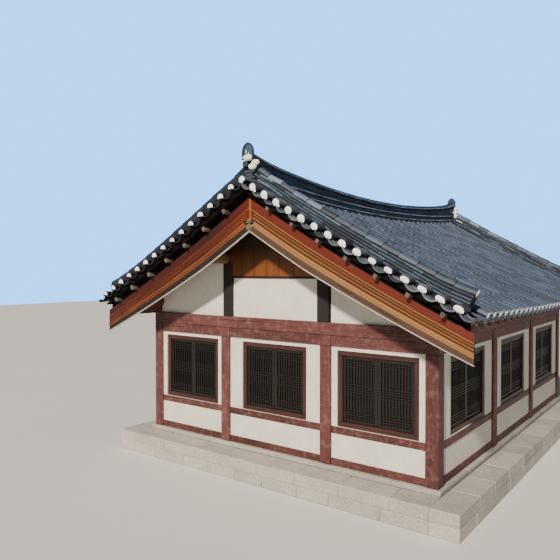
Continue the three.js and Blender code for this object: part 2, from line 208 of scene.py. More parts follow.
class Batch:
    """Many closed shapes that become one mesh."""

    def __init__(self, turn=0.0, origin=(0.0, 0.0, 0.0)):
        """What is added is turned about the upright axis, then moved to origin."""
        c, s = math.cos(turn), math.sin(turn)
        self.turn, self.origin = np.array([[c, -s, 0], [s, c, 0], [0, 0, 1]]), np.array(origin)
        self.corners, self.faces, self.tones, self.grains = [], [], [], []
        self.count = 0

    def add(self, corners, faces, tone=0.5, grain=None):
        corners = np.asarray(corners, float).reshape(-1, 3)
        self.corners.append(corners @ self.turn.T + self.origin)
        self.faces.append(np.asarray(faces) + self.count)
        self.tones.append(np.broadcast_to(tone, len(corners)))
        self.grains.append(shifted(corners) if grain is None else grain)
        self.count += len(corners)


print("an empty batch holds", Batch().count, "corners")

# %% [markdown]
# From a batch to a piece
#
# A batch becomes one object. Its faces are smooth where the surface bends gently and
# sharp where it turns by more than the crease angle, which needs no extra geometry.
# The tone and the grain are stored on the mesh, so that they stay with it. Each piece
# rides with the house, and the parts of the frame that it replaces are hidden.

# %% Pieces


def make_piece(name, batch, material, replaces=(), crease=35.0):
    """Turns a batch into one object that rides with the house."""
    corners = np.concatenate(batch.corners)
    faces = [tuple(dict.fromkeys(face)) for group in batch.faces for face in group.tolist()]
    mesh = bpy.data.meshes.new(name)
    mesh.from_pydata(corners.tolist(), [], faces)
    shape = bmesh.new()
    shape.from_mesh(mesh)
    bmesh.ops.recalc_face_normals(shape, faces=shape.faces[:])
    shape.to_mesh(mesh)
    shape.free()
    tone = mesh.attributes.new("tone", "FLOAT", "POINT")
    tone.data.foreach_set("value", np.concatenate(batch.tones))
    grain = mesh.attributes.new("grain", "FLOAT_VECTOR", "POINT")
    grain.data.foreach_set("vector", np.concatenate(batch.grains).ravel())
    mesh.polygons.foreach_set("use_smooth", [True] * len(mesh.polygons))
    mesh.set_sharp_from_angle(angle=math.radians(crease))
    mesh.materials.append(material)
    piece = bpy.data.objects.new(name, mesh)
    bpy.context.collection.objects.link(piece)
    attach(piece, "root")
    if replaces:
        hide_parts(*replaces)
    print(name, len(mesh.polygons), "faces")


# %% [markdown]
# Making a material
#
# A material is a small tree of nodes. One helper adds a node with its settings, its
# values and its links. Colours are written as they look on a screen, and one function
# turns them to the linear values that a renderer works in.

# %% Material helpers


def linear(colour):
    """A colour such as #aabbcc as linear red, green, blue and alpha."""
    parts = [int(colour[i:i + 2], 16) / 255 for i in (1, 3, 5)]
    return [p / 12.92 if p <= 0.04045 else ((p + 0.055) / 1.055) ** 2.4 for p in parts] + [1.0]


def fill(node, inputs):
    """Gives each input of a node a number, a colour or the output of another node."""
    for key, value in inputs.items():
        if isinstance(value, bpy.types.NodeSocket):
            node.id_data.links.new(value, node.inputs[key])
        else:
            node.inputs[key].default_value = linear(value) if isinstance(value, str) else value


def put(tree, kind, inputs=None, out=0, stops=(), **settings):
    """Adds one node and returns its output; stops are the places and colours of a ramp."""
    node = tree.nodes.new("ShaderNode" + kind)
    for key, value in settings.items():
        setattr(node, key, value)
    if stops:
        elements = node.color_ramp.elements
        elements[0].position, elements[1].position = stops[0][0], stops[-1][0]
        for place, _ in stops[1:-1]:
            elements.new(place)
        for element, (_, colour) in zip(elements, stops):
            element.color = linear(colour)
    fill(node, inputs or {})
    return node.outputs[out]


def start_material(name, roughness, metallic=0.0):
    """A new material with its tree and its main shader."""
    material = bpy.data.materials.new(name)
    material.use_nodes = True
    shader = material.node_tree.nodes["Principled BSDF"]
    fill(shader, {"Roughness": roughness, "Metallic": metallic})
    return material, material.node_tree, shader


print("middle grey is", round(linear("#808080")[0], 3), "in linear values")

# %% [markdown]
# Patterns in millimetres
#
# Real surfaces vary at several sizes at once: clouds as wide as a hand, flecks, grit.
# Painted pictures could show that, but they need unwrapping and blur up close. Noise
# needs neither, and its scale is the number of features in a metre, so it is worked
# out from a real width. Several patterns are then added up, each with its share.

# %% Patterns
BLACK, WHITE = "#000000", "#ffffff"
MILLIMETRE = 0.001


def weighted(tree, *parts):
    """Patterns times their shares, added up."""
    total = None
    for pattern, share in parts:
        part = put(tree, "Math", {0: pattern, 1: share}, operation="MULTIPLY")
        total = part if total is None else put(tree, "Math", {0: total, 1: part}, operation="ADD")
    return total


def per_metre(size_mm):
    """How many features of this width lie in a metre."""
    return 1000.0 / size_mm


print("a tile column is", round(per_metre(300), 2), "to the metre")

# %% [markdown]
# Smoke-fired clay tile
#
# Korean roof tiles are earthenware, pressed in moulds and starved of air at the end
# of the firing, so that carbon turns them blue-grey right through. Each tile comes out
# a little different, and dust and lichen lighten them with age. The clay is matt with
# a faint sheen, so the roughness is about 0.55. Cloudy patches are about 350 mm wide
# and flecks 22 mm. The fine grit, under 1 mm on a real tile, is 6 mm so that it shows.

# %% Clay tile
DUST = "#8f9296"


def fired_tile(name, dark, middle, light, tone_share=0.25, dust_share=0.1, roughness=0.55):
    """Clay from dark to light, by the tone of each tile, its patches and its flecks."""
    material, tree, shader = start_material(name, roughness)
    where = put(tree, "TexCoord", out="Object")
    patch, fleck, grit = (
        put(tree, "TexNoise", {"Vector": where, "Scale": per_metre(size_mm), "Detail": detail,
                               "Roughness": rough})
        for size_mm, detail, rough in ((350, 5.0, 0.6), (22, 6.0, 0.7), (6, 3.0, 0.6)))
    tone = put(tree, "Attribute", out="Fac", attribute_name="tone")
    rest = 1 - tone_share
    value = weighted(tree, (tone, tone_share), (patch, rest * 0.47), (fleck, rest * 0.53))
    spread = 0.13 + 0.2 * tone_share
    clay = put(tree, "ValToRGB", {"Fac": value},
               stops=((0.5 - spread, dark), (0.5, middle), (0.5 + spread, light)))
    dust = put(tree, "ValToRGB", {"Fac": fleck}, stops=((0.55, BLACK), (0.75, WHITE)))
    colour = put(tree, "Mix", {0: weighted(tree, (dust, dust_share)), 6: clay, 7: DUST}, out=2,
                 data_type="RGBA")
    height = weighted(tree, (fleck, 1.0), (grit, 1.0))
    relief = put(tree, "Bump", {"Height": height, "Distance": 2.0 * MILLIMETRE, "Strength": 0.6})
    fill(shader, {"Base Color": colour, "Normal": relief})
    return material


# Field tiles: even blue-grey, so that the rows read as one cloth.
roof_tile = fired_tile("smoke_fired_roof_tile", "#323b4a", "#3e4a5c", "#4b5a6d")
# Edge tiles: from near black, partly damp and partly painted shade on the lips, to bleached grey.
edge_tile = fired_tile("smoke_fired_edge_tile", "#13151a", "#3c424c", "#687079", 0.5)
# Rake tiles: as mixed, with pale blue caps near the ridge.
rake_tile = fired_tile("smoke_fired_rake_tile", "#272e38", "#435061", "#6f8094", 0.5, 0.06)
# Ridge tiles: deep navy, darker than the field as painted shade, quite matt, with hardly any dust.
ridge_tile = fired_tile("smoke_fired_ridge_tile", "#172434", "#243852", "#344f6d", 0.3, 0.02, 0.7)
# Proud courses: pale as a painted highlight of the low sun on their edges.
highlit_proud_tile = fired_tile("highlight_painted_ridge_tile", "#56606c", "#6f7b89", "#8691a0", 0.4)
# The pressed face of a ridge end: fine clay with crisp light edges.
pressed_tile = fired_tile("smoke_fired_pressed_tile", "#1e2a37", "#324252", "#4e6072", 0.3)
print("six tones of fired clay")

# %% [markdown]
# Lime and plaster
#
# Lime putty closes the ends of the round tiles and packs the ends of the ridge. Lime
# plaster covers the wall panels. Both are pressed on by hand or trowelled, so they are
# matt, white with a warm cast, uneven over 90 mm and stained in clouds of 600 mm. The
# sand in them is drawn 5 mm wide, coarser than it is, so that it shows.

# %% Lime and plaster


def lime(name, clean, stained, stain_share, relief_mm):
    """Lime whose clean colour turns to the stained one in clouds."""
    material, tree, shader = start_material(name, 0.9)
    where = put(tree, "TexCoord", out="Object")
    cloud, trowel, sand = (
        put(tree, "TexNoise", {"Vector": where, "Scale": per_metre(size_mm), "Detail": detail,
                               "Roughness": rough})
        for size_mm, detail, rough in ((600, 6.0, 0.6), (90, 4.0, 0.5), (5, 3.0, 0.6)))
    value = weighted(tree, (cloud, 0.6), (trowel, 0.4))
    stain = put(tree, "ValToRGB", {"Fac": value}, stops=((0.42, BLACK), (0.72, WHITE)))
    colour = put(tree, "Mix", {0: weighted(tree, (stain, stain_share)), 6: clean, 7: stained}, out=2,
                 data_type="RGBA")
    height = weighted(tree, (trowel, 1.0), (sand, 0.25))
    relief = put(tree, "Bump", {"Height": height, "Distance": relief_mm * MILLIMETRE, "Strength": 0.7})
    fill(shader, {"Base Color": colour, "Normal": relief})
    return material


# Discs on the tile ends: the brightest white of the house.
lime_putty = lime("lime_putty", "#ffffff", "#eeeadb", 0.4, 5.0)
# Lumps under the ridge ends: the same putty, yellowed with age.
aged_lime = lime("aged_lime_putty", "#fcfee8", "#d9d8b4", 0.5, 6.0)
# Mortar between the platform stones: grey with dirt.
joint_lime = lime("lime_joint_mortar", "#8f8d80", "#5f5e56", 0.8, 5.0)
# Packing beside the rake ridges: nearly as dark as the tiles.
old_lime = lime("weathered_lime_packing", "#565b59", "#33383a", 0.8, 5.0)
# Wall panels: soft warm white, trowelled flat.
wall_plaster = lime("lime_wall_plaster", "#ded9ce", "#c4bba9", 0.55, 3.0)
print("putty, aged putty, joints, packing and wall plaster")

# %% [markdown]
# Timber
#
# The house is pine, sawn and planed. Its long grain is a noise stretched along each
# piece, which is why every bar carries its own grain coordinates: a pattern fixed in
# space would run across half of them. Growth rings 4 to 8 mm apart show as streaks,
# drawn about twice as coarse so that they show in the picture. Drying checks are thin
# dark lines along the grain.

# %% Timber


def timber(name, dark, middle, light, roughness, streak_mm=16.0, fade=None, tone_share=0.2,
           shaded=None):
    """Pine from dark to light. Paint may fade, and painted shade may darken it above a height."""
    material, tree, shader = start_material(name, roughness)
    grain = put(tree, "Attribute", out="Vector", attribute_name="grain")
    streak, fibre, cloud, crack = (
        put(tree, "TexNoise", {
            "Vector": put(tree, "Mapping", {"Vector": grain, "Scale": (drawn_out, 1.0, 1.0)}),
            "Scale": per_metre(size_mm), "Detail": detail, "Roughness": rough})
        for size_mm, drawn_out, detail, rough in (
            (streak_mm, 0.035, 4.0, 0.6), (streak_mm / 4, 0.05, 3.0, 0.6),
            (400, 0.4, 3.0, 0.5), (34, 0.03, 2.0, 0.4)))
    tone = put(tree, "Attribute", out="Fac", attribute_name="tone")
    rest = 1 - tone_share
    value = weighted(tree, (streak, rest * 0.6), (cloud, rest * 0.4), (tone, tone_share))
    wood = put(tree, "ValToRGB", {"Fac": value}, stops=((0.3, dark), (0.5, middle), (0.7, light)))
    check = put(tree, "ValToRGB", {"Fac": crack}, stops=((0.30, WHITE), (0.36, BLACK)))
    covers = [(weighted(tree, (check, 0.7)), dark)]
    where = put(tree, "TexCoord", out="Object")
    if fade:
        wear = put(tree, "TexNoise", {"Vector": where, "Scale": per_metre(130), "Detail": 6.0,
                                      "Roughness": 0.7})
        worn = put(tree, "ValToRGB", {"Fac": wear}, stops=((0.5, BLACK), (0.75, WHITE)))
        covers.append((weighted(tree, (worn, 0.5)), fade))
    # Painted shade: above a given height the wood turns to one dark colour.
    if shaded:
        low, high, soot = shaded
        level = put(tree, "SeparateXYZ", {"Vector": where}, out="Z")
        edge = weighted(tree, (level, 1.0), (streak, 0.3))
        share = put(tree, "MapRange", {"Value": edge, "From Min": low, "From Max": high})
        covers.append((weighted(tree, (share, 0.85)), soot))
    for share, colour in covers:
        wood = put(tree, "Mix", {0: share, 6: wood, 7: colour}, out=2, data_type="RGBA")
    height = weighted(tree, (streak, 1.0), (fibre, 1.0), (check, -1.5))
    relief = put(tree, "Bump", {"Height": height, "Distance": 1.5 * MILLIMETRE, "Strength": 0.8})
    fill(shader, {"Base Color": wood, "Normal": relief})
    return material


print("one recipe for every pine finish")

# %% [markdown]
# Paints and stains
#
# The posts and beams wear iron-oxide paint, which is matt and chalky and worn pale in
# patches. The bargeboards and gable boards are stained, so the grain shows through:
# red on the top planks, orange below, gold on the beads and tan on the moulding. Old
# bare pine turns silver-grey, and under the roof the timber is painted near black as
# shade. Three colours for each, from the dark of the streaks to the light, say all that.

# %% Paints and stains
# Posts and beams: chalky iron-oxide paint, worn pale in patches.
painted_timber = timber("iron_red_painted_pine", "#2b110c", "#532926", "#714440", 0.6,
                        fade="#957166")
# Window frames: the same paint, darker as painted shade under the eaves, and smoother.
window_timber = timber("iron_red_window_pine", "#240f0b", "#3a1c17", "#4b2720", 0.5)
# Window leaves: nearly black as painted shade, so that the lattice melts into the glass.
leaf_timber = timber("brown_window_pine", "#0b0605", "#120b08", "#1c120e", 0.5)
# Stains: satin, as oil is rubbed in. Wider boards show wider streaks.
red_timber = timber("red_stained_pine", "#260903", "#560e01", "#601c03", 0.5, 22.0,
                    tone_share=0.5)
# Gable boards: orange stain, painted darker above 4.15 m as the shade of the roof.
board_timber = timber("orange_stained_pine", "#471f07", "#78410e", "#975d1b", 0.5, 22.0,
                      tone_share=0.4, shaded=(4.15, 4.55, "#120b06"))
panel_timber = timber("brown_orange_stained_pine", "#2c0902", "#661d02", "#4a240a", 0.5, 14.0,
                      tone_share=0.5)
# Beads: golden stain, lighter than the panels partly as a painted highlight on their edges.
gold_timber = timber("golden_stained_pine", "#4a2008", "#84501a", "#a66f30", 0.5, 18.0,
                     tone_share=0.5)
trim_timber = timber("tan_stained_pine", "#3a1a0c", "#84461e", "#946a3c", 0.55, 14.0,
                     tone_share=0.5)
# Bare pine, and pine made near black as painted shade: dry and matt.
grey_timber = timber("silvered_pine", "#140a05", "#241208", "#4e3727", 0.75, 12.0,
                     tone_share=0.5)
bare_timber = timber("weathered_pine", "#3a281b", "#694a32", "#886747", 0.75, fade="#797167")
# Short gable posts and the rail under the boards: near black as painted shade.
dark_timber = timber("shade_dark_pine", "#0e0806", "#160d0a", "#241713", 0.7)
# Outriggers: grey-brown, painted lighter as light on their ends.
rigger_timber = timber("grey_brown_pine", "#38312a", "#5c544c", "#82786d", 0.8)
# Verge boards: near black as painted shade under the tiles, with little gloss.
sooty_timber = timber("soot_brown_pine", "#080505", "#100b0a", "#1b1411", 0.8)
fill(sooty_timber.node_tree.nodes["Principled BSDF"], {"Specular IOR Level": 0.1})
print("thirteen timbers")

# %% [markdown]
# Dressed granite
#
# The platform is granite, dressed with a bush hammer: pale and rough, with dark mica
# and white feldspar grains a few millimetres wide. A cell pattern gives each grain one
# colour, as crystals have, where noise would only blur them. Tooling 14 mm wide makes
# the relief.

# %% Granite
CRYSTAL_MM = 6.25


def granite_finish():
    """Grains of crystal under a slow change of colour, different on each block."""
    material, tree, shader = start_material("dressed_granite", 0.85)
    where = put(tree, "TexCoord", out="Object")
    grains = put(tree, "TexVoronoi", {"Vector": where, "Scale": per_metre(CRYSTAL_MM)}, out="Color")
    speck = put(tree, "SeparateColor", {"Color": grains}, out="Red")
    cloud, tooling = (
        put(tree, "TexNoise", {"Vector": where, "Scale": per_metre(size_mm), "Detail": 5.0,
                               "Roughness": rough})
        for size_mm, rough in ((500, 0.6), (14, 0.7)))
    tone = put(tree, "Attribute", out="Fac", attribute_name="tone")
    value = weighted(tree, (speck, 0.5), (cloud, 0.35), (tone, 0.25))
    colour = put(tree, "ValToRGB", {"Fac": value},
                 stops=((0.2, "#6d6a64"), (0.5, "#a29d92"), (0.85, "#cbc6b9")))
    relief = put(tree, "Bump", {"Height": tooling, "Distance": 4.0 * MILLIMETRE, "Strength": 0.7})
    fill(shader, {"Base Color": colour, "Normal": relief})
    return material


granite = granite_finish()
print("granite with grains of", CRYSTAL_MM, "mm")

# %% [markdown]
# Clay, paper, metal and limewash
#
# Some finishes need no more than two close colours that drift over a real width. The
# bedding clay under the ridge tiles is a dark, dead matt. The heated floor has oiled
# paper, satin and honey-coloured. The clamp is forged iron, scaled black-brown, with a
# bar worn to bare steel: both are metals and keep the usual IOR. A painted zinc strip
# is folded over the bargeboards' lower edge, and the boss at their seam is limewashed.

# %% Clay, paper, metal and limewash


def plain_finish(name, first, second, size_mm, roughness, metallic=0.0, relief_mm=0.5):
    """Two colours that drift over size_mm, with a relief of the same pattern."""
    material, tree, shader = start_material(name, roughness, metallic)
    where = put(tree, "TexCoord", out="Object")
    pattern = put(tree, "TexNoise", {"Vector": where, "Scale": per_metre(size_mm), "Detail": 5.0,
                                     "Roughness": 0.6})
    colour = put(tree, "ValToRGB", {"Fac": pattern}, stops=((0.3, first), (0.7, second)))
    relief = put(tree, "Bump", {"Height": pattern, "Distance": relief_mm * MILLIMETRE, "Strength": 0.5})
    fill(shader, {"Base Color": colour, "Normal": relief})
    return material


bed_clay = plain_finish("bedding_clay", "#0d0e11", "#191b1f", 60, 0.95, relief_mm=4.0)
oiled_paper = plain_finish("oiled_floor_paper", "#a98446", "#c7a466", 400, 0.35)
iron = plain_finish("forged_iron", "#1e1d1c", "#3a3430", 12, 0.55, 0.9, 1.0)
steel = plain_finish("worn_steel", "#7d7a76", "#b0aca6", 12, 0.45, 0.9)
zinc = plain_finish("painted_zinc_strip", "#beada0", "#d9ccc0", 80, 0.55)
limewashed = plain_finish("limewashed_pine", "#47393a", "#806e66", 25, 0.8, relief_mm=1.5)
print("clay, paper, iron, steel, zinc, limewash")

# %% [markdown]
# Window glass
#
# The rooms behind the panes are dark, so plain float glass shows nearly black with
# sharp reflections. Clear glass would show an empty room here, so the panes are dark
# and let only a third of the light through. Smears of 300 mm keep them from looking
# like ink. The IOR of window glass is 1.52.

# %% Glass


def pane_finish():
    """Dark glass with faint smears."""
    material, tree, shader = start_material("window_glass", 0.06)
    where = put(tree, "TexCoord", out="Object")
    smear = put(tree, "TexNoise", {"Vector": where, "Scale": per_metre(300), "Detail": 3.0,
                                   "Roughness": 0.5})
    colour = put(tree, "ValToRGB", {"Fac": smear}, stops=((0.3, "#060505"), (0.7, "#0c0a09")))
    fill(shader, {"Base Color": colour, "IOR": 1.52, "Transmission Weight": 0.35})
    return material


glass = pane_finish()
print("glass")

# %% [markdown]
# Convex and concave tiles
#
# Concave tiles lie in columns like gutters, and a column of half-round tiles covers
# each seam. Each concave tile hides two thirds of the next, so only the part that
# shows is made, with a short lap. Its lower end lies on the one below and stands a
# little higher: that gives the roof its fine steps. Array modifiers would do for a
# flat roof, but this one is curved both ways, so a template is laid again and again.

# %% Tile templates
COLUMN = 0.30
ROUND_RADIUS = 0.078
ROUND_THICK = 0.018
ROUND_LENGTH = 0.30
ROUND_LAP = 0.03
GUTTER_WIDTH = COLUMN - 0.01
GUTTER_DEPTH = 0.052
GUTTER_STEP = 0.115
GUTTER_LAP = 0.04
GUTTER_THICK = 0.02


def half_round(radius, thickness, length, sides=8, tail=0.012):
    """A half-round tile, its lower end lifted by tail."""
    turns = np.linspace(math.pi, 0, sides + 1)
    arch = np.stack([np.cos(turns), np.sin(turns)], axis=1)
    return plate(arch * radius, arch * (radius - thickness), [0, length], [0, tail])


def gutter(width, depth, thickness, length, sides=6, tail=0.0, head=0.0):
    """A concave tile: lowest in the middle, its edges at height 0."""
    across = np.linspace(-width / 2, width / 2, sides + 1)
    under = -depth * (1 - (2 * across / width) ** 2)
    upper = np.stack([across, under], axis=1)
    return plate(upper, upper - [0, thickness], [0, length], [head, tail])


print("a gutter tile shows", round(1000 * GUTTER_STEP), "mm of its length")

# %% [markdown]
# Discs of lime
#
# The roofer presses a ball of wet lime into the end of each round tile and smooths it
# with a thumb, so it bulges. On some the lime ran down in a drip, and others were
# struck off flat below. A squashed sphere can do neither, but rings of corners around
# a middle point take any outline.

# %% Lime templates
DRIP_WIDTH = 0.28


def disc_faces(rings, sides, back):
    """Faces of rings around a middle point, closed by a point behind."""
    faces = []
    for i in range(sides):
        j = (i + 1) % sides
        faces.append((0, 1 + i, 1 + j, 1 + j))
        for ring in range(rings - 1):
            a, b = 1 + ring * sides, 1 + (ring + 1) * sides
            faces.append((a + i, b + i, b + j, a + j))
        last = 1 + (rings - 1) * sides
        faces.append((last + i, back, last + j, last + j))
    return np.array(faces)


def plug(radius, height, drip=0.0, down=-math.pi / 2, foot=None, rings=3, sides=26):
    """A pressed disc of lime that faces along, with a drip or a flat foot toward down."""
    turns = np.linspace(0, 2 * math.pi, sides, endpoint=False)
    away = (turns - down + math.pi) % (2 * math.pi) - math.pi
    reach = radius + drip * np.exp(-(away / DRIP_WIDTH) ** 2)
    if foot is not None:
        under = np.cos(away) > 0.1
        reach[under] = np.minimum(reach[under], foot / np.cos(away[under]))
    edge = np.stack([np.cos(turns), np.sin(turns)], axis=1) * reach[:, None]
    corners = [(height, 0.0, 0.0)]
    for ring in range(1, rings + 1):
        share = ring / rings
        lift = height * math.cos(share * math.pi / 2) ** 0.7
        corners.extend((lift, across * share, up * share) for across, up in edge)
    back = len(corners)
    corners.append((-0.02, 0.0, 0.0))
    return np.array(corners), disc_faces(rings, sides, back)


print("a plug has", len(plug(1.0, 0.1)[1]), "faces")

# %% [markdown]
# Laying the field
#
# The field lies between the two rake ridges, a little lower than they do. The last
# gutter tile of each column hangs over the eave as a drip lip, and the last
# half-round tile is closed with a disc of lime. Each tile is nudged by a few
# millimetres and has its own tone, since a perfect grid looks printed.

# %% Roof field
FIELD_SINK = 0.055
EAVE_BACK = 0.06
PLUG_HEIGHT = 0.014
PLUG_LIFT = 0.010
FIELD_HALF = 4.5
LIP_DEPTH, LIP_THICK, LIP_LENGTH = 0.06, GUTTER_THICK + 0.008, 0.16
LIP_BACK, LIP_LIFT = 0.13, 0.012
GUTTER_END = 0.10
column_places = np.arange(-FIELD_HALF, FIELD_HALF + 0.01, COLUMN)
seam_places = np.arange(-FIELD_HALF - COLUMN / 2, FIELD_HALF + COLUMN, COLUMN)
field_end = SLOPE_LENGTH - EAVE_BACK


def set_down(batch, side, template, x, run, nudge=(0.0, 0.0), lift=0.0):
    """Lays one tile of the field with its head at x and run."""
    corners, faces = template
    world = lay(side, x - side * (corners[:, 1] + nudge[0]), run + corners[:, 0],
                corners[:, 2] + nudge[1] + lift - FIELD_SINK)
    batch.add(world, faces, rng.uniform(0, 1), corners)


def rows_above(end, step):
    """How many tiles fit above end, and where the first of them starts."""
    rows = int(end // step)
    return rows, end - rows * step


def lay_field(side, name):
    rounds, gutters, plugs = Batch(), Batch(), Batch()
    round_tile = half_round(ROUND_RADIUS, ROUND_THICK, ROUND_LENGTH + ROUND_LAP)
    gutter_tile = gutter(GUTTER_WIDTH, GUTTER_DEPTH, GUTTER_THICK, GUTTER_STEP + GUTTER_LAP,
                         tail=0.019)
    lip_tile = gutter(GUTTER_WIDTH, LIP_DEPTH, LIP_THICK, LIP_LENGTH, tail=-0.004)
    rows, start = rows_above(field_end, ROUND_LENGTH)
    for x in column_places:
        for row in range(-1, rows):
            run = start + row * ROUND_LENGTH - ROUND_LAP
            set_down(rounds, side, round_tile, x, run, rng.normal(0, 0.003, 2))
        radius = ROUND_RADIUS * 0.86 + rng.normal(0, 0.003)
        disc = plug(radius, PLUG_HEIGHT, rng.uniform(0, 0.02))
        set_down(plugs, side, disc, x, field_end, lift=PLUG_LIFT)
    rows, start = rows_above(field_end - GUTTER_END, GUTTER_STEP)
    for x in seam_places:
        for row in range(rows):
            run = start + row * GUTTER_STEP
            set_down(gutters, side, gutter_tile, x, run, rng.normal(0, 0.002, 2))
        set_down(gutters, side, lip_tile, x, field_end - LIP_BACK, lift=LIP_LIFT)
    make_piece(f"{name}_round_tiles", rounds, roof_tile, [f"{name}_roof"])
    make_piece(f"{name}_gutter_tiles", gutters, roof_tile)
    make_piece(f"{name}_eave_plugs", plugs, lime_putty, crease=60)


for side_name, side in SIDES:
    lay_field(side, side_name)

# %% [markdown]
# Discs along the gable edge
#
# Along each gable the tiles turn and run crosswise, out to the edge, and their ends
# are closed with white discs 300 mm apart. This row of dots is what the eye catches
# first in the photograph. No two are alike: on the street side the wet lime ran down
# in a drip near the ridge, on the yard side it was struck off flat, with the foot
# held level while the roof leans. Lower on the street side they were pressed oval.

# %% Gable edge discs
RAKE_X = 4.84
RAKE_HALF = 0.12
EDGE_SINK = (-0.3, 0.0, 0.3, 1.0, 1.6), (0.035, 0.035, 0.002, 0.002, 0.022)
EDGE_INNER = RAKE_X + RAKE_HALF - 0.06
EDGE_OUTER = HALF_LENGTH - 0.016
EDGE_LENGTH = EDGE_OUTER - EDGE_INNER
EDGE_TILES = int(SLOPE_LENGTH // COLUMN) + 1
EDGE_STOP = SLOPE_LENGTH - 0.02
DISC_RADII = (-12, -7, 0), (0.053, 0.060, 0.065)
DISC_SPOTS = -12, -6, 0
DISC_WIDTHS, DISC_HEIGHTS = (1.35, 1.15, 1.0), (0.82, 0.97, 1.0)
ROOF_LEAN = math.radians(27)


def edge_point(end, x, run, up):
    """A point beside the gable edge: run is signed, minus for the street slope."""
    street = lay(-1, end * x, np.abs(run), up)
    yard = lay(1, end * x, np.abs(run), up)
    return np.where((run < 0)[:, None], street, yard)


def crosswise(end, centre, corners, inner):
    """Lays a template whose along runs outward, across the slope at a signed run."""
    up = corners[:, 2] - np.interp(centre, *EDGE_SINK)
    if abs(centre) < 0.01:
        x = inner + corners[:, 0]
        top = tile_height(end * x, 0 * x)
        return np.stack([end * x, end * corners[:, 1], top + up], axis=1)
    run = np.clip(centre + end * corners[:, 1], -EDGE_STOP, EDGE_STOP)
    return edge_point(end, inner + corners[:, 0], run, up)


def edge_plug(end, index):
    """A lime disc; index counts from the ridge, minus for the street slope."""
    radius = np.interp(index, *DISC_RADII) + rng.normal(0, 0.003)
    if index > 0:
        share = rng.uniform(0.25, 0.6) if index < 4 else rng.uniform(0.05, 0.4)
        down = -math.pi / 2 + end * ROOF_LEAN
        return plug(radius * 1.05, PLUG_HEIGHT, 0.0, down, radius * share, sides=32)
    if index == 0:
        return plug(radius, PLUG_HEIGHT, -0.035, -0.8)
    drip = rng.uniform(0.03, 0.055) if index >= -3 else rng.uniform(0.0, 0.018)
    corners, faces = plug(radius, PLUG_HEIGHT, drip, math.atan2(-0.35, -0.94 * end))
    wide, tall = (np.interp(index, DISC_SPOTS, sizes) for sizes in (DISC_WIDTHS, DISC_HEIGHTS))
    return corners * [1, wide, tall], faces


print(2 * EDGE_TILES - 1, "discs along each gable")

# %% [markdown]
# Lumps of lime
#
# Where tiles don't quite meet, a handful of lime is pushed into the gap. A smooth
# ball would look machine-made, so the corners of a lump are pushed in or out a
# little. Each lump has a seed of its own, so that adding one leaves the others alone.

# %% Lumps
LUMP_REACH = 0.9, 1.08


def lump(batch, centre, radii, seed, rows=8, sides=14, tone=0.6):
    """A rounded lump pressed by hand."""
    local = np.random.default_rng(seed)
    corners = [(0.0, 0.0, radii[2])]
    for row in range(1, rows):
        polar = math.pi * row / rows
        for i in range(sides):
            turn = 2 * math.pi * i / sides
            grow = local.uniform(*LUMP_REACH) * math.sin(polar)
            corners.append((radii[0] * grow * math.cos(turn), radii[1] * grow * math.sin(turn),
                            radii[2] * math.cos(polar)))
    corners.append((0.0, 0.0, -radii[2]))
    faces = disc_faces(rows - 1, sides, len(corners) - 1)
    batch.add(np.array(corners) + centre, faces, tone)


print("a lump is", LUMP_REACH, "times its radii at each corner")

# %% [markdown]
# Tiles along the gable edge
#
# Under each disc ends a half-round tile, and between them three gutter tiles step
# down to a dark lip. The yard half lies in the damp and stays dark, while the street
# half dries and bleaches, so their tones come from different ranges. Here and there
# old lime packs the gap beside the rake ridge.

# %% Gable edge tiles
STREET_TONES, YARD_TONES = (0.15, 1.0), (-0.25, 0.2)
GUTTERS = 3
GUTTER_REACH = EDGE_LENGTH / GUTTERS
FIRST_PACKED = -7


def edge_tone(run):
    """A chance tone from the range of its slope."""
    return rng.uniform(*(STREET_TONES if run < 0.01 else YARD_TONES))


def convex_edge(end, tiles, plugs):
    corners, faces = half_round(ROUND_RADIUS, ROUND_THICK, EDGE_LENGTH, sides=10)
    for index in range(-EDGE_TILES + 1, EDGE_TILES):
        centre = index * COLUMN
        tiles.add(crosswise(end, centre, corners, EDGE_INNER), faces, edge_tone(centre), corners)
        disc, disc_sides = edge_plug(end, index)
        disc = disc + [EDGE_LENGTH, 0, PLUG_LIFT]
        plugs.add(crosswise(end, centre, disc, EDGE_INNER), disc_sides, rng.uniform(0, 1), disc)


def concave_edge(end, tiles, packing):
    inside = gutter(GUTTER_WIDTH, 0.06, GUTTER_THICK, GUTTER_REACH + 0.03, sides=8, tail=0.018)
    lip = gutter(GUTTER_WIDTH, 0.075, 0.026, GUTTER_REACH + 0.008, sides=8, tail=0.004, head=0.012)
    for index in range(-EDGE_TILES, EDGE_TILES):
        centre = (index + 0.5) * COLUMN
        for step in range(GUTTERS):
            corners, faces = lip if step == GUTTERS - 1 else inside
            world = crosswise(end, centre, corners, EDGE_INNER + step * GUTTER_REACH)
            tiles.add(world, faces, edge_tone(centre), corners)
        if rng.random() < 0.5 or index < FIRST_PACKED:
            continue
        beside = np.array([RAKE_X + RAKE_HALF - 0.005])
        point = edge_point(end, beside, np.array([centre]), -0.02)[0]
        lump(packing, point, (0.05, rng.uniform(0.05, 0.09), 0.04), 40 + index, 5, 9)


def gable_edge(end, name):
    tiles, plugs, packing = Batch(), Batch(), Batch()
    convex_edge(end, tiles, plugs)
    concave_edge(end, tiles, packing)
    make_piece(f"{name}_edge_tiles", tiles, edge_tile, crease=30)
    make_piece(f"{name}_edge_plugs", plugs, lime_putty, crease=60)
    make_piece(f"{name}_edge_packing", packing, old_lime, crease=60)


for end_name, end in ENDS:
    gable_edge(end, end_name)

# %% [markdown]
# The line of a rake ridge
#
# A rake ridge weighs down the tiles beside each gable. Near the main ridge it is
# lifted, so that its head meets the ridge end, and its foot turns up a little. Its bed
# of dark clay comes first: without it, daylight would show through the joints.

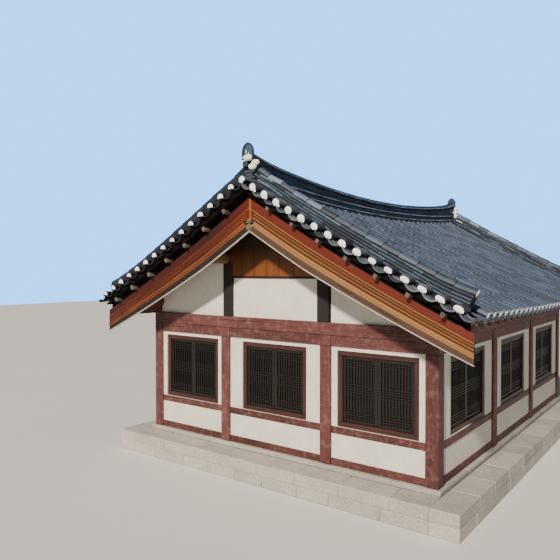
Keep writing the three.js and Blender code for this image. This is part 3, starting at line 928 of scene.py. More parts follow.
# %% Rake line and bed
RAKE_LIFTS = {
    -1: ((0, 0.15, 0.3, 0.47, 0.8, 1.15, 1.6, 3.17, 4.0),
         (0.085, 0.06, 0.052, 0.072, 0.05, 0.04, 0.04, 0.02, 0.01)),
    1: ((0, 0.25, 0.9, 2.0, 3.4), (0.14, 0.112, 0.118, 0.09, 0.05)),
}
RAKE_START, RAKE_END = -0.02, run_at(3.98)
RAKE_LENGTH = RAKE_END - RAKE_START
UPTURN, UPTURN_LENGTH = 0.03, 0.6
BED_TOP = [(-0.085, 0.17), (0.085, 0.17)]
CORE_TOP = [(-0.055, 0.20), (0, 0.222), (0.055, 0.20)]
CORE_FOOT = [(-0.06, 0.16), (0, 0.16), (0.06, 0.16)]


def on_rake(side, end, corners, run, shift=0.0, lift=0.0):
    """Lays a template on the line of a rake ridge."""
    down = run + corners[:, 0]
    upturn = UPTURN * np.clip(1 - (RAKE_END - down) / UPTURN_LENGTH, 0, 1) ** 2
    up = corners[:, 2] + lift + upturn + np.interp(down, *RAKE_LIFTS[side])
    return lay(side, end * RAKE_X - side * (corners[:, 1] + shift), down, up)


def rake_bed(side, end, batch):
    stations = list(np.linspace(0, RAKE_LENGTH, 14))
    low = -0.1 - max(RAKE_LIFTS[side][1])
    for top, foot in ((BED_TOP, [(-0.10, low), (0.10, low)]), (CORE_TOP, CORE_FOOT)):
        corners, faces = plate(top, foot, stations)
        batch.add(on_rake(side, end, corners, RAKE_START), faces, 0.5, corners)


print("a rake ridge is", round(RAKE_LENGTH, 2), "m long")

# %% [markdown]
# Courses and caps of a rake ridge
#
# On the bed lie four courses of flat tiles and a row of half-round caps, closed at
# the foot with lime. The tiles bleach toward the ridge on the street side, and stay
# dark in the damp on the yard side. Each is a separate plate, a little out of line,
# as if laid by hand.

# %% Rake ridges
RAKE_DRYNESS = {-1: 1.0, 1: 0.15}
RAKE_COURSES = 4
COURSE, COURSE_TILE = 0.051, 0.037
COURSE_HALF, COURSE_TAPER = 0.113, 0.003
TOP_COURSE, CAP_LEVEL = 0.116, 0.168
RAKE_TILE = 0.325
RAKE_TILES = int(RAKE_LENGTH / RAKE_TILE)
RAKE_REACH = RAKE_LENGTH / RAKE_TILES


def flat_section(half, thickness):
    """Section of a flat tile with soft long edges."""
    edge = thickness * 0.3
    upper = [(-half, thickness - edge), (-half + edge, thickness), (0, thickness + 0.004),
             (half - edge, thickness), (half, thickness - edge)]
    lower = [(-half, edge), (-half + edge, 0), (0, 0), (half - edge, 0), (half, edge)]
    return upper, lower


def rake_courses(side, end, tiles):
    dry, length = RAKE_DRYNESS[side], RAKE_REACH - 0.006
    for course in range(RAKE_COURSES):
        low = TOP_COURSE - (RAKE_COURSES - 1 - course) * COURSE
        half = COURSE_HALF - COURSE_TAPER * course
        corners, faces = plate(*flat_section(half, COURSE_TILE), [0, length])
        for index in range(RAKE_TILES):
            run = RAKE_START + (index + (course % 2) * 0.5) * RAKE_REACH
            world = on_rake(side, end, corners, min(run, RAKE_END - length),
                            rng.normal(0, 0.003), low + rng.normal(0, 0.002))
            tone = dry * rng.uniform(0, 0.9) * (1 - 0.5 * index / RAKE_TILES)
            tiles.add(world, faces, tone, corners)


def rake_caps(side, end, tiles):
    corners, faces = half_round(ROUND_RADIUS, ROUND_THICK, RAKE_REACH - 0.007)
    for index in range(RAKE_TILES):
        bleached = 1.1 - 0.85 * index / RAKE_TILES
        world = on_rake(side, end, corners, RAKE_START + index * RAKE_REACH,
                        rng.normal(0, 0.002), CAP_LEVEL)
        tiles.add(world, faces, RAKE_DRYNESS[side] * rng.uniform(-0.1, 1) * bleached, corners)


def rake_ridge(side, end, name):
    tiles, clay_bed, closing = Batch(), Batch(), Batch()
    rake_bed(side, end, clay_bed)
    rake_courses(side, end, tiles)
    rake_caps(side, end, tiles)
    corners, faces = plug(0.055, PLUG_HEIGHT, 0.012)
    world = on_rake(side, end, corners + [0.004, 0, 0.20], RAKE_END)
    closing.add(world, faces, 0.5, corners)
    make_piece(f"{name}_tiles", tiles, rake_tile, [f"{name}_ridge"])
    make_piece(f"{name}_bed", clay_bed, bed_clay)
    make_piece(f"{name}_foot_lime", closing, lime_putty, crease=60)


for side_name, side in SIDES:
    for end_name, end in ENDS:
        rake_ridge(side, end, f"{side_name}_{end_name}_rake")

# %% [markdown]
# The line of the main ridge
#
# Extra courses near the gables give the ridge its upturned line, above a foot that
# follows the sagging roof. Two functions of x hold those two lines, so that every
# course, cap and scallop can be laid between them. The lowest courses stop short of
# the gable, where the rake ridges meet them.

# %% Ridge line
RIDGE_END = 4.99
RIDGE_TOP = 5.697
RIDGE_RISE = 0.40
RIDGE_LIFT, LIFT_START = 0.053, 4.0
RIDGE_HALF = 0.15
LOW_END = 4.74
LOW_TOP = APEX + 0.19
ridge_count = int(round(2 * RIDGE_END / COLUMN))
ridge_reach = 2 * RIDGE_END / ridge_count
ridge_starts = -RIDGE_END + ridge_reach * np.arange(ridge_count)


def ridge_top(x):
    """Height of the top of the main ridge."""
    lift = np.clip(np.abs(x) - LIFT_START, 0, None) / (RIDGE_END - LIFT_START)
    return RIDGE_TOP + RIDGE_RISE * (x / HALF_LENGTH) ** 2 + RIDGE_LIFT * lift ** 2


def ridge_foot(x):
    """Height of the roof surface at the foot of the main ridge."""
    return tile_height(x, RIDGE_HALF)


def along_ridge(x0, corners, level):
    """Lays a template along the ridge; level gives its height at any x."""
    x = x0 + corners[:, 0]
    return np.stack([x, corners[:, 1], level(x) + corners[:, 2]], axis=1)


print("the ridge rises", round(float(ridge_top(RIDGE_END) - ridge_top(0)), 3), "m to its ends")

# %% [markdown]
# Clay core, scallops and side tiles
#
# At the foot of the ridge, scallops close the gutters and half-round tiles lie on
# their sides above them. Behind them all is a core of dark clay, so that no daylight
# shows through the joints. It is made in three stretches, because outside the rake
# ridges it doesn't reach down so far.

# %% Ridge core and foot
SCALLOP_RADIUS = 0.085
SCALLOP_HALF_THICK = 0.012
SIDE_RADIUS, SIDE_THICK = 0.046, 0.014
SIDE_OUT, SIDE_LEVEL = 0.078, 0.148
CORE_HALF_TOP, CORE_HALF_FOOT = 0.095, 0.105
CORE_SINK, CORE_DROP = 0.10, 0.075


def ridge_core(core):
    for first, last, rows in ((-LOW_END, LOW_END, 41), (-RIDGE_END, -LOW_END, 4),
                              (LOW_END, RIDGE_END, 4)):
        body, faces = plate([(-CORE_HALF_TOP, 0), (CORE_HALF_TOP, 0)],
                            [(-CORE_HALF_FOOT, 0), (CORE_HALF_FOOT, 0)],
                            list(np.linspace(first, last, rows)))
        is_top = np.tile([True, True, False, False], rows)
        low = ridge_foot(body[:, 0]) - CORE_SINK if rows > 4 else LOW_TOP
        height = np.where(is_top, ridge_top(body[:, 0]) - CORE_DROP, low)
        core.add(np.stack([body[:, 0], body[:, 1], height], axis=1), faces, 0.3, body)


def ridge_sides(tiles):
    turns = np.linspace(math.pi, 0, 9)
    arch = np.stack([np.cos(turns), np.sin(turns)], axis=1) * SCALLOP_RADIUS
    scallop, scallop_faces = plate(arch, arch * [1, 0] - [0, 0.12],
                                   [-SCALLOP_HALF_THICK, SCALLOP_HALF_THICK])
    lean = RIDGE_HALF - SCALLOP_HALF_THICK + scallop[:, 0] - scallop[:, 2] * 0.3
    side_tile, side_faces = half_round(SIDE_RADIUS, SIDE_THICK, ridge_reach - 0.006, tail=0.0)
    for face in (-1, 1):
        for centre in seam_places:
            height = ridge_foot(centre) + scallop[:, 2] - 0.01
            world = np.stack([centre + scallop[:, 1], face * lean, height], axis=1)
            tiles.add(world, scallop_faces, rng.uniform(0, 0.5), scallop)
        out = face * (SIDE_OUT + side_tile[:, 2])
        turned = np.stack([side_tile[:, 0], out, side_tile[:, 1]], axis=1)
        for start in ridge_starts[1:-1]:
            world = along_ridge(start, turned, lambda x: ridge_foot(x) + SIDE_LEVEL)
            tiles.add(world, side_faces, rng.uniform(0, 0.5), side_tile)


ridge_batch, core_batch = Batch(), Batch()
ridge_core(core_batch)
ridge_sides(ridge_batch)
print(ridge_count, "tiles along the ridge")

# %% [markdown]
# One course of flat tiles
#
# A course is a row of flat tiles that follows a line of the ridge. It stops short
# where the ridge is low, and it can leave out tiles where there is no room. One
# straight strip would be quicker, but its joints and small steps would be missing.

# %% Ridge courses
SHORTEST = 0.05


def ridge_course(batch, half, thickness, level, shift=0.0, only=None):
    """One course of flat tiles on the ridge, where only(x) allows it."""
    placed = 0
    for start in np.append(ridge_starts[0] - ridge_reach, ridge_starts):
        begin = start + shift * ridge_reach
        reach = LOW_END if level(begin + ridge_reach / 2) < LOW_TOP else RIDGE_END
        begin, finish = max(begin, -reach), min(begin + ridge_reach, reach)
        if finish - begin < SHORTEST or (only and not only((begin + finish) / 2)):
            continue
        placed += 1
        length = finish - begin - 0.004
        corners, faces = plate(*flat_section(half, thickness), [0, length / 2, length])
        moved = corners + [0, rng.normal(0, 0.0015), rng.normal(0, 0.0012)]
        batch.add(along_ridge(begin, moved, level), faces, rng.uniform(0, 1), corners)
    return placed


print("a ridge tile is", round(1000 * ridge_reach), "mm long")

# %% [markdown]
# Proud courses, filling and caps
#
# Three proud courses of thicker tiles show as pale lines: their tile is painted pale as the
# highlight of the low sun, and everything between them is painted dark as shade. Courses
# of flat tiles fill in toward the gables, one after another, each only where it has room:
# the loop stops when none has. The half-round caps lie on top. The joints of every second
# course are shifted by half a tile, as in brickwork.

# %% Main ridge
PROUD_LOW, PROUD_HIGH, CAP_DROP = 0.082, 0.206, 0.0825
FILL_STEP, FILL_HALF, FILL_TILE = 0.036, 0.112, 0.026
CAP_RADIUS, CAP_LAP, CAP_FLATTEN, CAP_SEAT = 0.077, 0.008, 0.92, 0.0708


def filling_courses(tiles):
    """Courses between the proud ones, each as long as there is room for it."""
    course, placed = 0, 1
    while placed:
        drop = CAP_DROP + 0.052 + course * FILL_STEP

        def level(x):
            return ridge_top(x) - drop

        def has_room(x):
            return level(x) > ridge_foot(x) + PROUD_HIGH + 0.016

        placed = ridge_course(tiles, FILL_HALF, FILL_TILE, level, course % 2 * 0.5, has_room)
        course += 1
    return course - 1


def ridge_caps(tiles):
    length = ridge_reach + CAP_LAP
    cap, faces = half_round(CAP_RADIUS, ROUND_THICK, length, tail=0.0)
    for start in ridge_starts:
        fit = min(length, RIDGE_END - start) / length
        flattened = cap * [fit, 1, CAP_FLATTEN]
        world = along_ridge(start, flattened, lambda x: ridge_top(x) - CAP_SEAT)
        tiles.add(world, faces, rng.uniform(0, 0.8), cap)


proud_batch = Batch()
ridge_course(proud_batch, 0.146, 0.034, lambda x: ridge_foot(x) + PROUD_LOW - 0.017)
ridge_course(proud_batch, 0.134, 0.032, lambda x: ridge_foot(x) + PROUD_HIGH - 0.016, 0.5)
print("courses of flat tiles at the ends:", filling_courses(ridge_batch))
ridge_course(proud_batch, 0.130, 0.032, lambda x: ridge_top(x) - CAP_DROP - 0.016)
ridge_caps(ridge_batch)
make_piece("main_ridge_tiles", ridge_batch, ridge_tile, ["main_ridge"])
make_piece("main_ridge_proud_courses", proud_batch, highlit_proud_tile)
make_piece("main_ridge_core", core_batch, bed_clay)

# %% [markdown]
# Squared bars
#
# Timbers and ribs have planed edges that catch the light, so a bar gets a chamfer all
# round. A bevel modifier would do it, but not on thousands of shapes in one mesh. A
# bar runs from point to point, and one of its sides faces a direction called up.

# %% Bars
CHAMFER = 0.006


def axes(start, end, up):
    """Length of a line, and the directions along it, across it and up from it."""
    along = end - start
    length = np.linalg.norm(along)
    along = along / length
    across = np.cross(np.array(up, float), along)
    across = across / np.linalg.norm(across)
    return length, along, across, np.cross(along, across)


def at_tips(corners, length):
    """Which corners lie at one of the two ends."""
    return np.isin(np.round(corners[:, 0], 6), np.round([0, length], 6))


def bar(batch, start, end, width, height, chamfer=CHAMFER, up=(0, 0, 1), tone=None):
    """A timber or block from start to end, with planed edges."""
    start, end = np.array(start, float), np.array(end, float)
    length, along, across, rise = axes(start, end, up)
    w, h = width / 2, height / 2
    c = min(chamfer, w * 0.4, h * 0.4)
    if c > 0:
        upper = [(-w, h - c), (-w + c, h), (w - c, h), (w, h - c)]
        lower = [(-w, c - h), (-w + c, -h), (w - c, -h), (w, c - h)]
        corners, faces = plate(upper, lower, [0, c, length - c, length])
        corners[at_tips(corners, length), 1:] *= [1 - c / w, 1 - c / h]
    else:
        corners, faces = plate([(-w, h), (w, h)], [(-w, -h), (w, -h)], [0, length])
    world = start + corners[:, :1] * along + corners[:, 1:2] * across + corners[:, 2:] * rise
    batch.add(world, faces, some_tone(tone), shifted(corners))


print("bars have a chamfer of", 1000 * CHAMFER, "mm")

# %% [markdown]
# The ridge-end tile
#
# An upright pointed tile closes each end of the ridge. It is pressed in a mould: its
# face is dished inside a raised rim, with a few upright ribs. Two arcs that meet at
# the top give its outline, and shrinking that outline ring by ring gives the rim and
# the dish. The rim and the face are separate pieces, as they differ in tone.

# %% Ridge-end tile
OGIVE_SPRING = 0.114
POINTED_SHARE, ROUND_SHARE = 0.3, 0.7
RIM_PROFILE = ((1.0, 0.0), (1.0, 0.8), (0.95, 1.0), (0.85, 1.0), (0.79, 0.6), (0.4, 0.6))
FACE_PROFILE = ((0.8, 0.5), (0.8, 0.66), (0.77, 0.72), (0.4, 0.78))
RIBS = (-0.06, -0.022, 0.022, 0.06)


def ogive(half, low, high, count=12):
    """Outline of the pointed tile: two arcs that meet at the top."""
    spring = low + OGIVE_SPRING
    rise = high - spring
    radius = (rise * rise + half * half) / (2 * half)
    points = [(-half, low), (half, low)]
    for turn in np.linspace(0, math.pi / 2, count):
        level = math.sin(turn)
        pointed = half - radius + math.sqrt(radius * radius - (rise * level) ** 2)
        y = POINTED_SHARE * pointed + ROUND_SHARE * half * math.cos(turn)
        points.append((y, spring + rise * level))
    return points + [(-y, z) for y, z in points[-2:1:-1]]


def ringed_plate(batch, outline, centre, profile, back, depth, crown):
    """A plate whose outline shrinks from ring to ring while its depth changes."""
    corners = [(back + depth * profile[0][1], *centre)]
    for shrink, share in profile:
        points = centre + (outline - centre) * shrink
        corners.extend((back + depth * share, y, z) for y, z in points)
    corners.append((back + crown, *centre))
    batch.add(corners, disc_faces(len(profile), len(outline), len(corners) - 1), 0.5)


def ridge_end(end, name):
    low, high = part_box(name)
    rim, panel = Batch(), Batch()
    inner, outer = (high.x, low.x) if end < 0 else (low.x, high.x)
    deep = outer - inner
    outline = np.array(ogive((high.y - low.y) / 2, low.z, high.z))
    centre = np.array([0, low.z + 0.12])
    for batch, profile in ((rim, RIM_PROFILE), (panel, FACE_PROFILE)):
        crown = deep * (profile[-1][1] + 0.02)
        ringed_plate(batch, outline, centre, profile, inner, deep, crown)
    x = inner + deep * 0.78
    for y in RIBS:
        top = high.z - 0.06 - abs(y) * 1.3
        bar(panel, (x, y * 1.1, low.z + 0.035), (x, y * 0.45, top), 0.014, abs(deep) * 0.3, 0.004,
            up=(end, 0, 0), tone=0.9)
    make_piece(f"{name}_tile", rim, ridge_tile, [name])
    make_piece(f"{name}_pressed_face", panel, pressed_tile)


for end_name, end in ENDS:
    ridge_end(end, f"{end_name}_ridge_end")

# %% [markdown]
# Blocks and logs
#
# A block is a bar between two opposite corners, which suits posts and stones. A log
# could be a cylinder, but a rafter's ends are cut plumb and its edges eased. So it is
# made like a bar, with a round section.

# %% Blocks and logs
LOG_SIDES = 18


def block(batch, low, high, chamfer=CHAMFER, axis=None, tone=None):
    """A timber or stone between two corners, its grain along axis or its longest side."""
    low, high = np.minimum(low, high), np.maximum(low, high)
    size = high - low
    axis = int(np.argmax(size)) if axis is None else axis
    start, end = (low + high) / 2, (low + high) / 2
    start[axis], end[axis] = low[axis], high[axis]
    width = size[1] if axis == 0 else size[0]
    height = size[1] if axis == 2 else size[2]
    up = (0, 1, 0) if axis == 2 else (0, 0, 1)
    bar(batch, start, end, width, height, chamfer, up, tone)


def log(batch, start, end, radius, sides=LOG_SIDES, tone=None, plumb=False):
    """A round timber from start to end. A plumb one has upright ends."""
    start, end = np.array(start, float), np.array(end, float)
    length, along, across, rise = axes(start, end, (0, 0, 1))
    gap = math.pi / sides
    turns = np.linspace(math.pi - gap, gap, sides // 2)
    upper = np.stack([radius * np.cos(turns), radius * np.sin(turns)], axis=1)
    bevel = min(0.01, radius * 0.12)
    stations = [0, bevel, length * 0.5, length - bevel, length]
    corners, faces = plate(upper, upper * [1, -1], stations)
    corners[at_tips(corners, length), 1:] *= 1 - bevel / radius
    world = start + corners[:, :1] * along + corners[:, 1:2] * across + corners[:, 2:] * rise
    if plumb:
        world -= np.outer(corners[:, 2] * rise[1] / along[1], along)
    batch.add(world, faces, some_tone(tone), shifted(corners))


print("a log has", LOG_SIDES, "sides unless told otherwise")

# %% [markdown]
# Lime under the ridge end
#
# Under the pointed tile the roofer packs lime around the ends of the tiles, in big
# rounded lumps that have aged to a creamy white. Below them five short courses of
# tiles close the end of the ridge, and the stubs of four tiles show dark between the
# lumps. The far end has a few lumps more, which show along the roof in the photograph.

# %% Ridge-end lime and courses
LUMPS = (((5.01, 0.0, 0.393), (0.06, 0.12, 0.058)), ((4.985, -0.155, 0.295), (0.05, 0.085, 0.055)),
         ((4.985, -0.085, 0.23), (0.045, 0.095, 0.06)), ((4.985, 0.08, 0.34), (0.04, 0.06, 0.03)),
         ((5.032, 0.027, 0.49), (0.009, 0.010, 0.05)), ((5.032, -0.032, 0.46), (0.009, 0.010, 0.03)))
FAR_LUMPS = (((4.86, -0.19, 0.27), (0.07, 0.045, 0.08)), ((4.80, -0.21, 0.16), (0.07, 0.05, 0.09)),
             ((4.73, -0.235, 0.06), (0.05, 0.05, 0.08)))
FAR_BEAD = (4.722, -0.27, 5.53), (4.722, -0.44, 5.44)
STUB_LEVEL = APEX + 0.285
CLOSING_COURSES, CLOSING_LOW, CLOSING_STEP, CLOSING_THICK = 5, 5.5, 0.058, 0.05


def tile_stubs(end, ends):
    x = end * RIDGE_END
    bar(ends, (x - end * 0.10, 0.062, STUB_LEVEL), (x + end * 0.046, 0.062, STUB_LEVEL),
        0.105, 0.10, 0.012, tone=0.4)
    z = LOW_TOP + 0.01
    for y, width in ((-0.10, 0.07), (0.0, 0.10)):
        bar(ends, (x - end * 0.25, y, z), (x - end * 0.01, y, z), width, 0.05)


def closing_courses(end, courses):
    for course in range(CLOSING_COURSES):
        z = CLOSING_LOW + course * CLOSING_STEP
        out, half = 4.965 - course % 2 * 0.014, 0.115 - course % 2 * 0.008
        block(courses, (end * 4.72, -half, z), (end * out, half, z + CLOSING_THICK), 0.008, axis=1,
              tone=0.25 + 0.1 * course)


def ridge_end_lime(end, name):
    lumps, ends, courses = Batch(), Batch(), Batch()
    for seed, ((x, y, rise), radii) in enumerate(LUMPS + FAR_LUMPS if end > 0 else LUMPS):
        lump(lumps, (end * x, y, APEX + rise), radii, seed)
    if end > 0:
        log(lumps, *FAR_BEAD, 0.013, 10, tone=0.6)
    tile_stubs(end, ends)
    closing_courses(end, courses)
    x = end * RIDGE_END
    log(ends, (x - end * 0.3, -0.08, 5.755), (x, -0.08, 5.755), 0.05, 12)
    make_piece(f"{name}_lime", lumps, aged_lime, crease=70)
    make_piece(f"{name}_tile_stub", ends, ridge_tile)
    make_piece(f"{name}_closing_courses", courses, edge_tile)


for end_name, end in ENDS:
    ridge_end_lime(end, f"{end_name}_ridge_end")

# %% [markdown]
# Bent boards
#
# Boards that follow the curved roof can't be straight bars. A curve with a bevel could
# bend them, but its section can't change on the way. So they are swept: a small
# function gives the section at each station, and the sections are joined.

# %% Sweeps


def sweep(batch, stations, section, tone=None):
    """Joins sections: section(t) gives an upper and a lower line of points."""
    rows = [section(t) for t in stations]
    count = len(rows[0][0])
    corners = np.array([point for row in rows for line in row for point in line], float)
    faces = plate([(0, 0)] * count, [(0, 0)] * count, stations)[1]
    first = np.repeat(corners[::2 * count], 2 * count, axis=0)
    grain = np.zeros_like(corners)
    grain[:, 0] = np.repeat(stations, 2 * count)
    grain[:, 1] = np.linalg.norm(corners - first, axis=1)
    tone = some_tone(tone)
    batch.add(corners, faces, np.repeat(tone, len(corners) // np.size(tone)), shifted(grain))


print("a sweep joins any number of sections")

# %% [markdown]
# Under the eaves
#
# From below, an eave is a row of pine logs with plaster between them. Each rafter is
# two logs: a short one from the ridge to the middle purlin and a long one from there
# to the eave. Plaster fills the spaces. The trowel hollowed it a little, so it is
# swept with a curved underside and isn't one flat sheet.

# %% Rafters and the plaster between them
RAFTER_RADIUS = 0.065
RAFTER_PITCH = 0.42
RAFTERS = 24
RAFTER_SINK = 0.047
RAFTER_END = 3.9
KNEE = 1.2
DECK_DEPTH = 0.23
FRAME_HALF = 4.94
HOLLOWS = (-0.02, -0.004, 0.0, -0.004, -0.02)
knots = np.array([0.0, KNEE, HALF_DEPTH])
knot_heights = tile_height(0.0, knots) - DECK_DEPTH


def deck_under(s):
    """Height of the underside of the roof deck, s out from the ridge."""
    return np.interp(s, knots, knot_heights)


def rafters(side, name):
    logs, infill, over_purlin = Batch(), Batch(), Batch()
    places = (np.arange(RAFTERS) - (RAFTERS - 1) / 2) * RAFTER_PITCH
    for x in places:
        for s0, s1 in ((0.03, KNEE), (KNEE - 0.02, RAFTER_END)):
            head, foot = ((x, side * s, deck_under(s) - RAFTER_SINK) for s in (s0, s1))
            log(logs, head, foot, RAFTER_RADIUS, 12, plumb=True)
    edges = np.concatenate([[-FRAME_HALF], places, [FRAME_HALF]])
    for x0, x1 in zip(edges[:-1], edges[1:]):
        across = np.linspace(x0, x1, len(HOLLOWS))

        def section(s):
            base = deck_under(s)
            upper = [(x, side * s, base + 0.02) for x in across]
            return upper, [(x, side * s, base + dip) for x, dip in zip(across, HOLLOWS)]

        sweep(infill, [0.01, 0.6, KNEE, 2.2, 3.1, 3.93], section, 0.5)
    top = float(deck_under(3.2)) + 0.01
    block(over_purlin, (-4.1, side * 3.16, 3.30), (4.1, side * 3.24, top))
    make_piece(f"{name}_rafters", logs, painted_timber)
    make_piece(f"{name}_eave_plaster", infill, wall_plaster)
    make_piece(f"{name}_purlin_plaster", over_purlin, wall_plaster)


for side_name, side in SIDES:
    rafters(side, side_name)

# %% [markdown]
# Scalloped eave boards
#
# A squared timber ties the rafter ends together. On it stands a board with a scallop
# cut for every gutter tile, so that the tiles lie firm. Cutting the scallops with a
# boolean would leave a rough mesh. Here the board is a row of short plates instead,
# each with one hollow as its upper line.

# %% Eave boards
SCALLOP_REACH = 0.022
EAVE_BOARD_RUN = run_at(3.95)
TIE_INNER, TIE_OUTER = 3.885, 3.975


def scallop_board(width, depth, low, thickness):
    """One column's width of board with a hollow for its gutter tile."""
    across = np.linspace(-width / 2, width / 2, 9)
    hollow = -depth * (1 - (2 * across / width) ** 2) - SCALLOP_REACH
    upper = np.stack([across, hollow], axis=1)
    lower = np.stack([across, np.full(9, low)], axis=1)
    return plate(upper, lower, [0, thickness])


def eave_boards(side, name):
    boards = Batch()
    corners, faces = scallop_board(COLUMN, 0.055, -0.125, 0.03)
    for x in seam_places[1:-1]:
        world = lay(side, x - side * corners[:, 1], EAVE_BOARD_RUN + corners[:, 0],
                    corners[:, 2] - FIELD_SINK)
        boards.add(world, faces, 0.4)
    y0, y1, c = side * TIE_INNER, side * TIE_OUTER, CHAMFER

    def section(x):
        top = tile_height(x, 3.93) - 0.165
        low = deck_under(RAFTER_END) - 0.012
        return ([(x, y0, top), (x, y1 - side * c, top), (x, y1, top - c)],
                [(x, y0, low), (x, y1 - side * c, low), (x, y1, low + c)])

    sweep(boards, np.linspace(-FRAME_HALF, FRAME_HALF, 25), section, 0.5)
    make_piece(f"{name}_eave_boards", boards, painted_timber)


for side_name, side in SIDES:
    eave_boards(side, side_name)

# %% [markdown]
# Verge boards and outriggers
#
# The same scalloped board runs up the gable edge, painted near black as the shade of the
# tiles. Short outriggers carry it out past the bargeboard, one every 600 mm, painted
# lighter as light on their ends. They stand square to the slope, so each one is a bar
# whose up direction leans with the roof.

# %% Verge boards and outriggers
VERGE_X = 5.09
VERGE_STRIPS = ((4.92, 5.10, -0.180, -0.202), (4.925, 4.944, -0.10, -0.31))
OUTRIGGER_RUNS = np.arange(0.6, 4.5, 0.6)
OUTRIGGER_SINK = 0.245
OUTRIGGER_START, OUTRIGGER_END = 4.93, 5.112


def verge_boards(end, name):
    boards, riggers = Batch(), Batch()
    corners, faces = scallop_board(COLUMN, 0.062, -0.15, 0.025)
    for index in range(-EDGE_TILES + 1, EDGE_TILES - 1):
        boards.add(crosswise(end, (index + 0.5) * COLUMN, corners, VERGE_X), faces, 0.4)
    for side in (-1, 1):
        for x0, x1, top, low in VERGE_STRIPS:

            def section(s):
                z = tile_height(HALF_LENGTH, s)
                return ([(end * x0, side * s, z + top), (end * x1, side * s, z + top)],
                        [(end * x0, side * s, z + low), (end * x1, side * s, z + low)])

            sweep(boards, np.linspace(0.0, 4.02, 24), section)
        for s in np.interp(OUTRIGGER_RUNS, slope_run, slope_s):
            surface = tile_height(HALF_LENGTH, s)
            z = float(surface) - OUTRIGGER_SINK
            fall = float(tile_height(HALF_LENGTH, s + STEP) - surface) / STEP
            bar(riggers, (end * OUTRIGGER_START, side * s, z), (end * OUTRIGGER_END, side * s, z),
                0.07, 0.085, up=(0, -side * fall, 1))
    make_piece(f"{name}_verge_boards", boards, sooty_timber)
    make_piece(f"{name}_outriggers", riggers, rigger_timber)


for end_name, end in ENDS:
    verge_boards(end, end_name)

# %% [markdown]
# Bargeboards
#
# Two wide boards meet at a seam under the ridge and shelter the gable. Each is built
# of planks: a broad red one on top, orange ones between golden beads, then two tan
# mouldings that stand proud, and two silvered planks with a folded strip at the foot.
# A thinner red board behind them closes the joints. Each plank is its own sweep, whose
# edge catches the light as no pattern on one flat board would. The golden beads are
# lighter partly as a painted highlight. On the yard half, painted shade makes the tones
# fall away from the seam.

# %% Bargeboard planks
barge_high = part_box("left_bargeboards")[1]
BARGE_INNER = -barge_high.x
BARGE_REACH = barge_high.y
BARGE_TOP_GAP = float(tile_height(BARGE_INNER, 0.0)) - barge_high.z
BARGE_HEIGHT, BARGE_TAIL = 0.62, 0.47
# Yard half: the tones fall away from the seam as painted shade.
YARD_SHADE_REDS = (0.0, 0.11, 0.27, 0.44, 0.8), (0.55, 0.50, 0.34, 0.26, 0.24)
YARD_SHADE_STAINS = (0.0, 0.15, 0.35, 0.55, 0.9), (0.62, 0.5, 0.42, 0.32, 0.30)
STREET_STAIN = 0.9
PLANKS = (("red", 0.0, 0.30, 0.030), ("gold", 0.303, 0.33, 0.042), ("orange", 0.335, 0.40, 0.034),
          ("gold", 0.404, 0.420, 0.036), ("orange", 0.424, 0.50, 0.034),
          ("gold", 0.504, 0.530, 0.040), ("orange", 0.534, 0.60, 0.030),
          ("tan", 0.605, 0.70, 0.045), ("tan", 0.706, 0.78, 0.038), ("grey", 0.787, 0.88, 0.030),
          ("grey", 0.884, 0.968, 0.036), ("red", 0.30, 0.96, 0.024), ("edge", 0.970, 1.0, 0.040))
BARGE_PIECES = (("red", "top_planks", red_timber), ("orange", "panels", panel_timber),
                ("gold", "beads", gold_timber), ("tan", "moulding", trim_timber),
                ("grey", "foot_planks", grey_timber), ("edge", "edge", zinc))
barge_stations = np.concatenate([np.linspace(0.002, KNEE, 8),
                                 np.linspace(KNEE, BARGE_REACH, 18)[1:]])


def barge_point(share, s):
    """Height of a line on the bargeboard: share 0 is its top edge and 1 its foot."""
    height = np.interp(s, [KNEE, BARGE_REACH], [BARGE_HEIGHT, BARGE_TAIL])
    return tile_height(BARGE_INNER, s) - BARGE_TOP_GAP - share * height


print(len(PLANKS), "planks and edges on each half of a bargeboard")

# %% [markdown]
# Laying the planks
#
# A plank is swept down the board between two shares of its height, its outer edges
# eased. Beside the seam stand two upright battens, one against it and one a little
# out. They are swept upward, so their section lies level.

# %% Planks and battens


def plank(batch, end, side, first, last, depth, tone):
    """One plank down the whole board, between two shares of its height."""
    inner, outer, c = end * BARGE_INNER, end * (BARGE_INNER + depth), 0.004

    def section(s):
        top, low = barge_point(first, s), barge_point(last, s)
        y = side * s
        return ([(inner, y, top), (outer - end * c, y, top), (outer, y, top - c)],
                [(inner, y, low), (outer - end * c, y, low), (outer, y, low + c)])

    sweep(batch, barge_stations, section, tone)


def batten(batch, end, side, near, far, first, last, depth):
    """An upright batten beside the seam, from near to far out from it."""
    inner, outer, c = end * BARGE_INNER, end * (BARGE_INNER + depth), 0.003

    def section(share):
        y0, y1 = side * near, side * far
        z0, z1 = barge_point(share, near), barge_point(share, far)
        return ([(inner, y0, z0), (outer - end * c, y0, z0), (outer, y0 + side * c, z0)],
                [(inner, y1, z1), (outer - end * c, y1, z1), (outer, y1 - side * c, z1)])

    sweep(batch, [first, (first + last) / 2, last], section, 0.6)


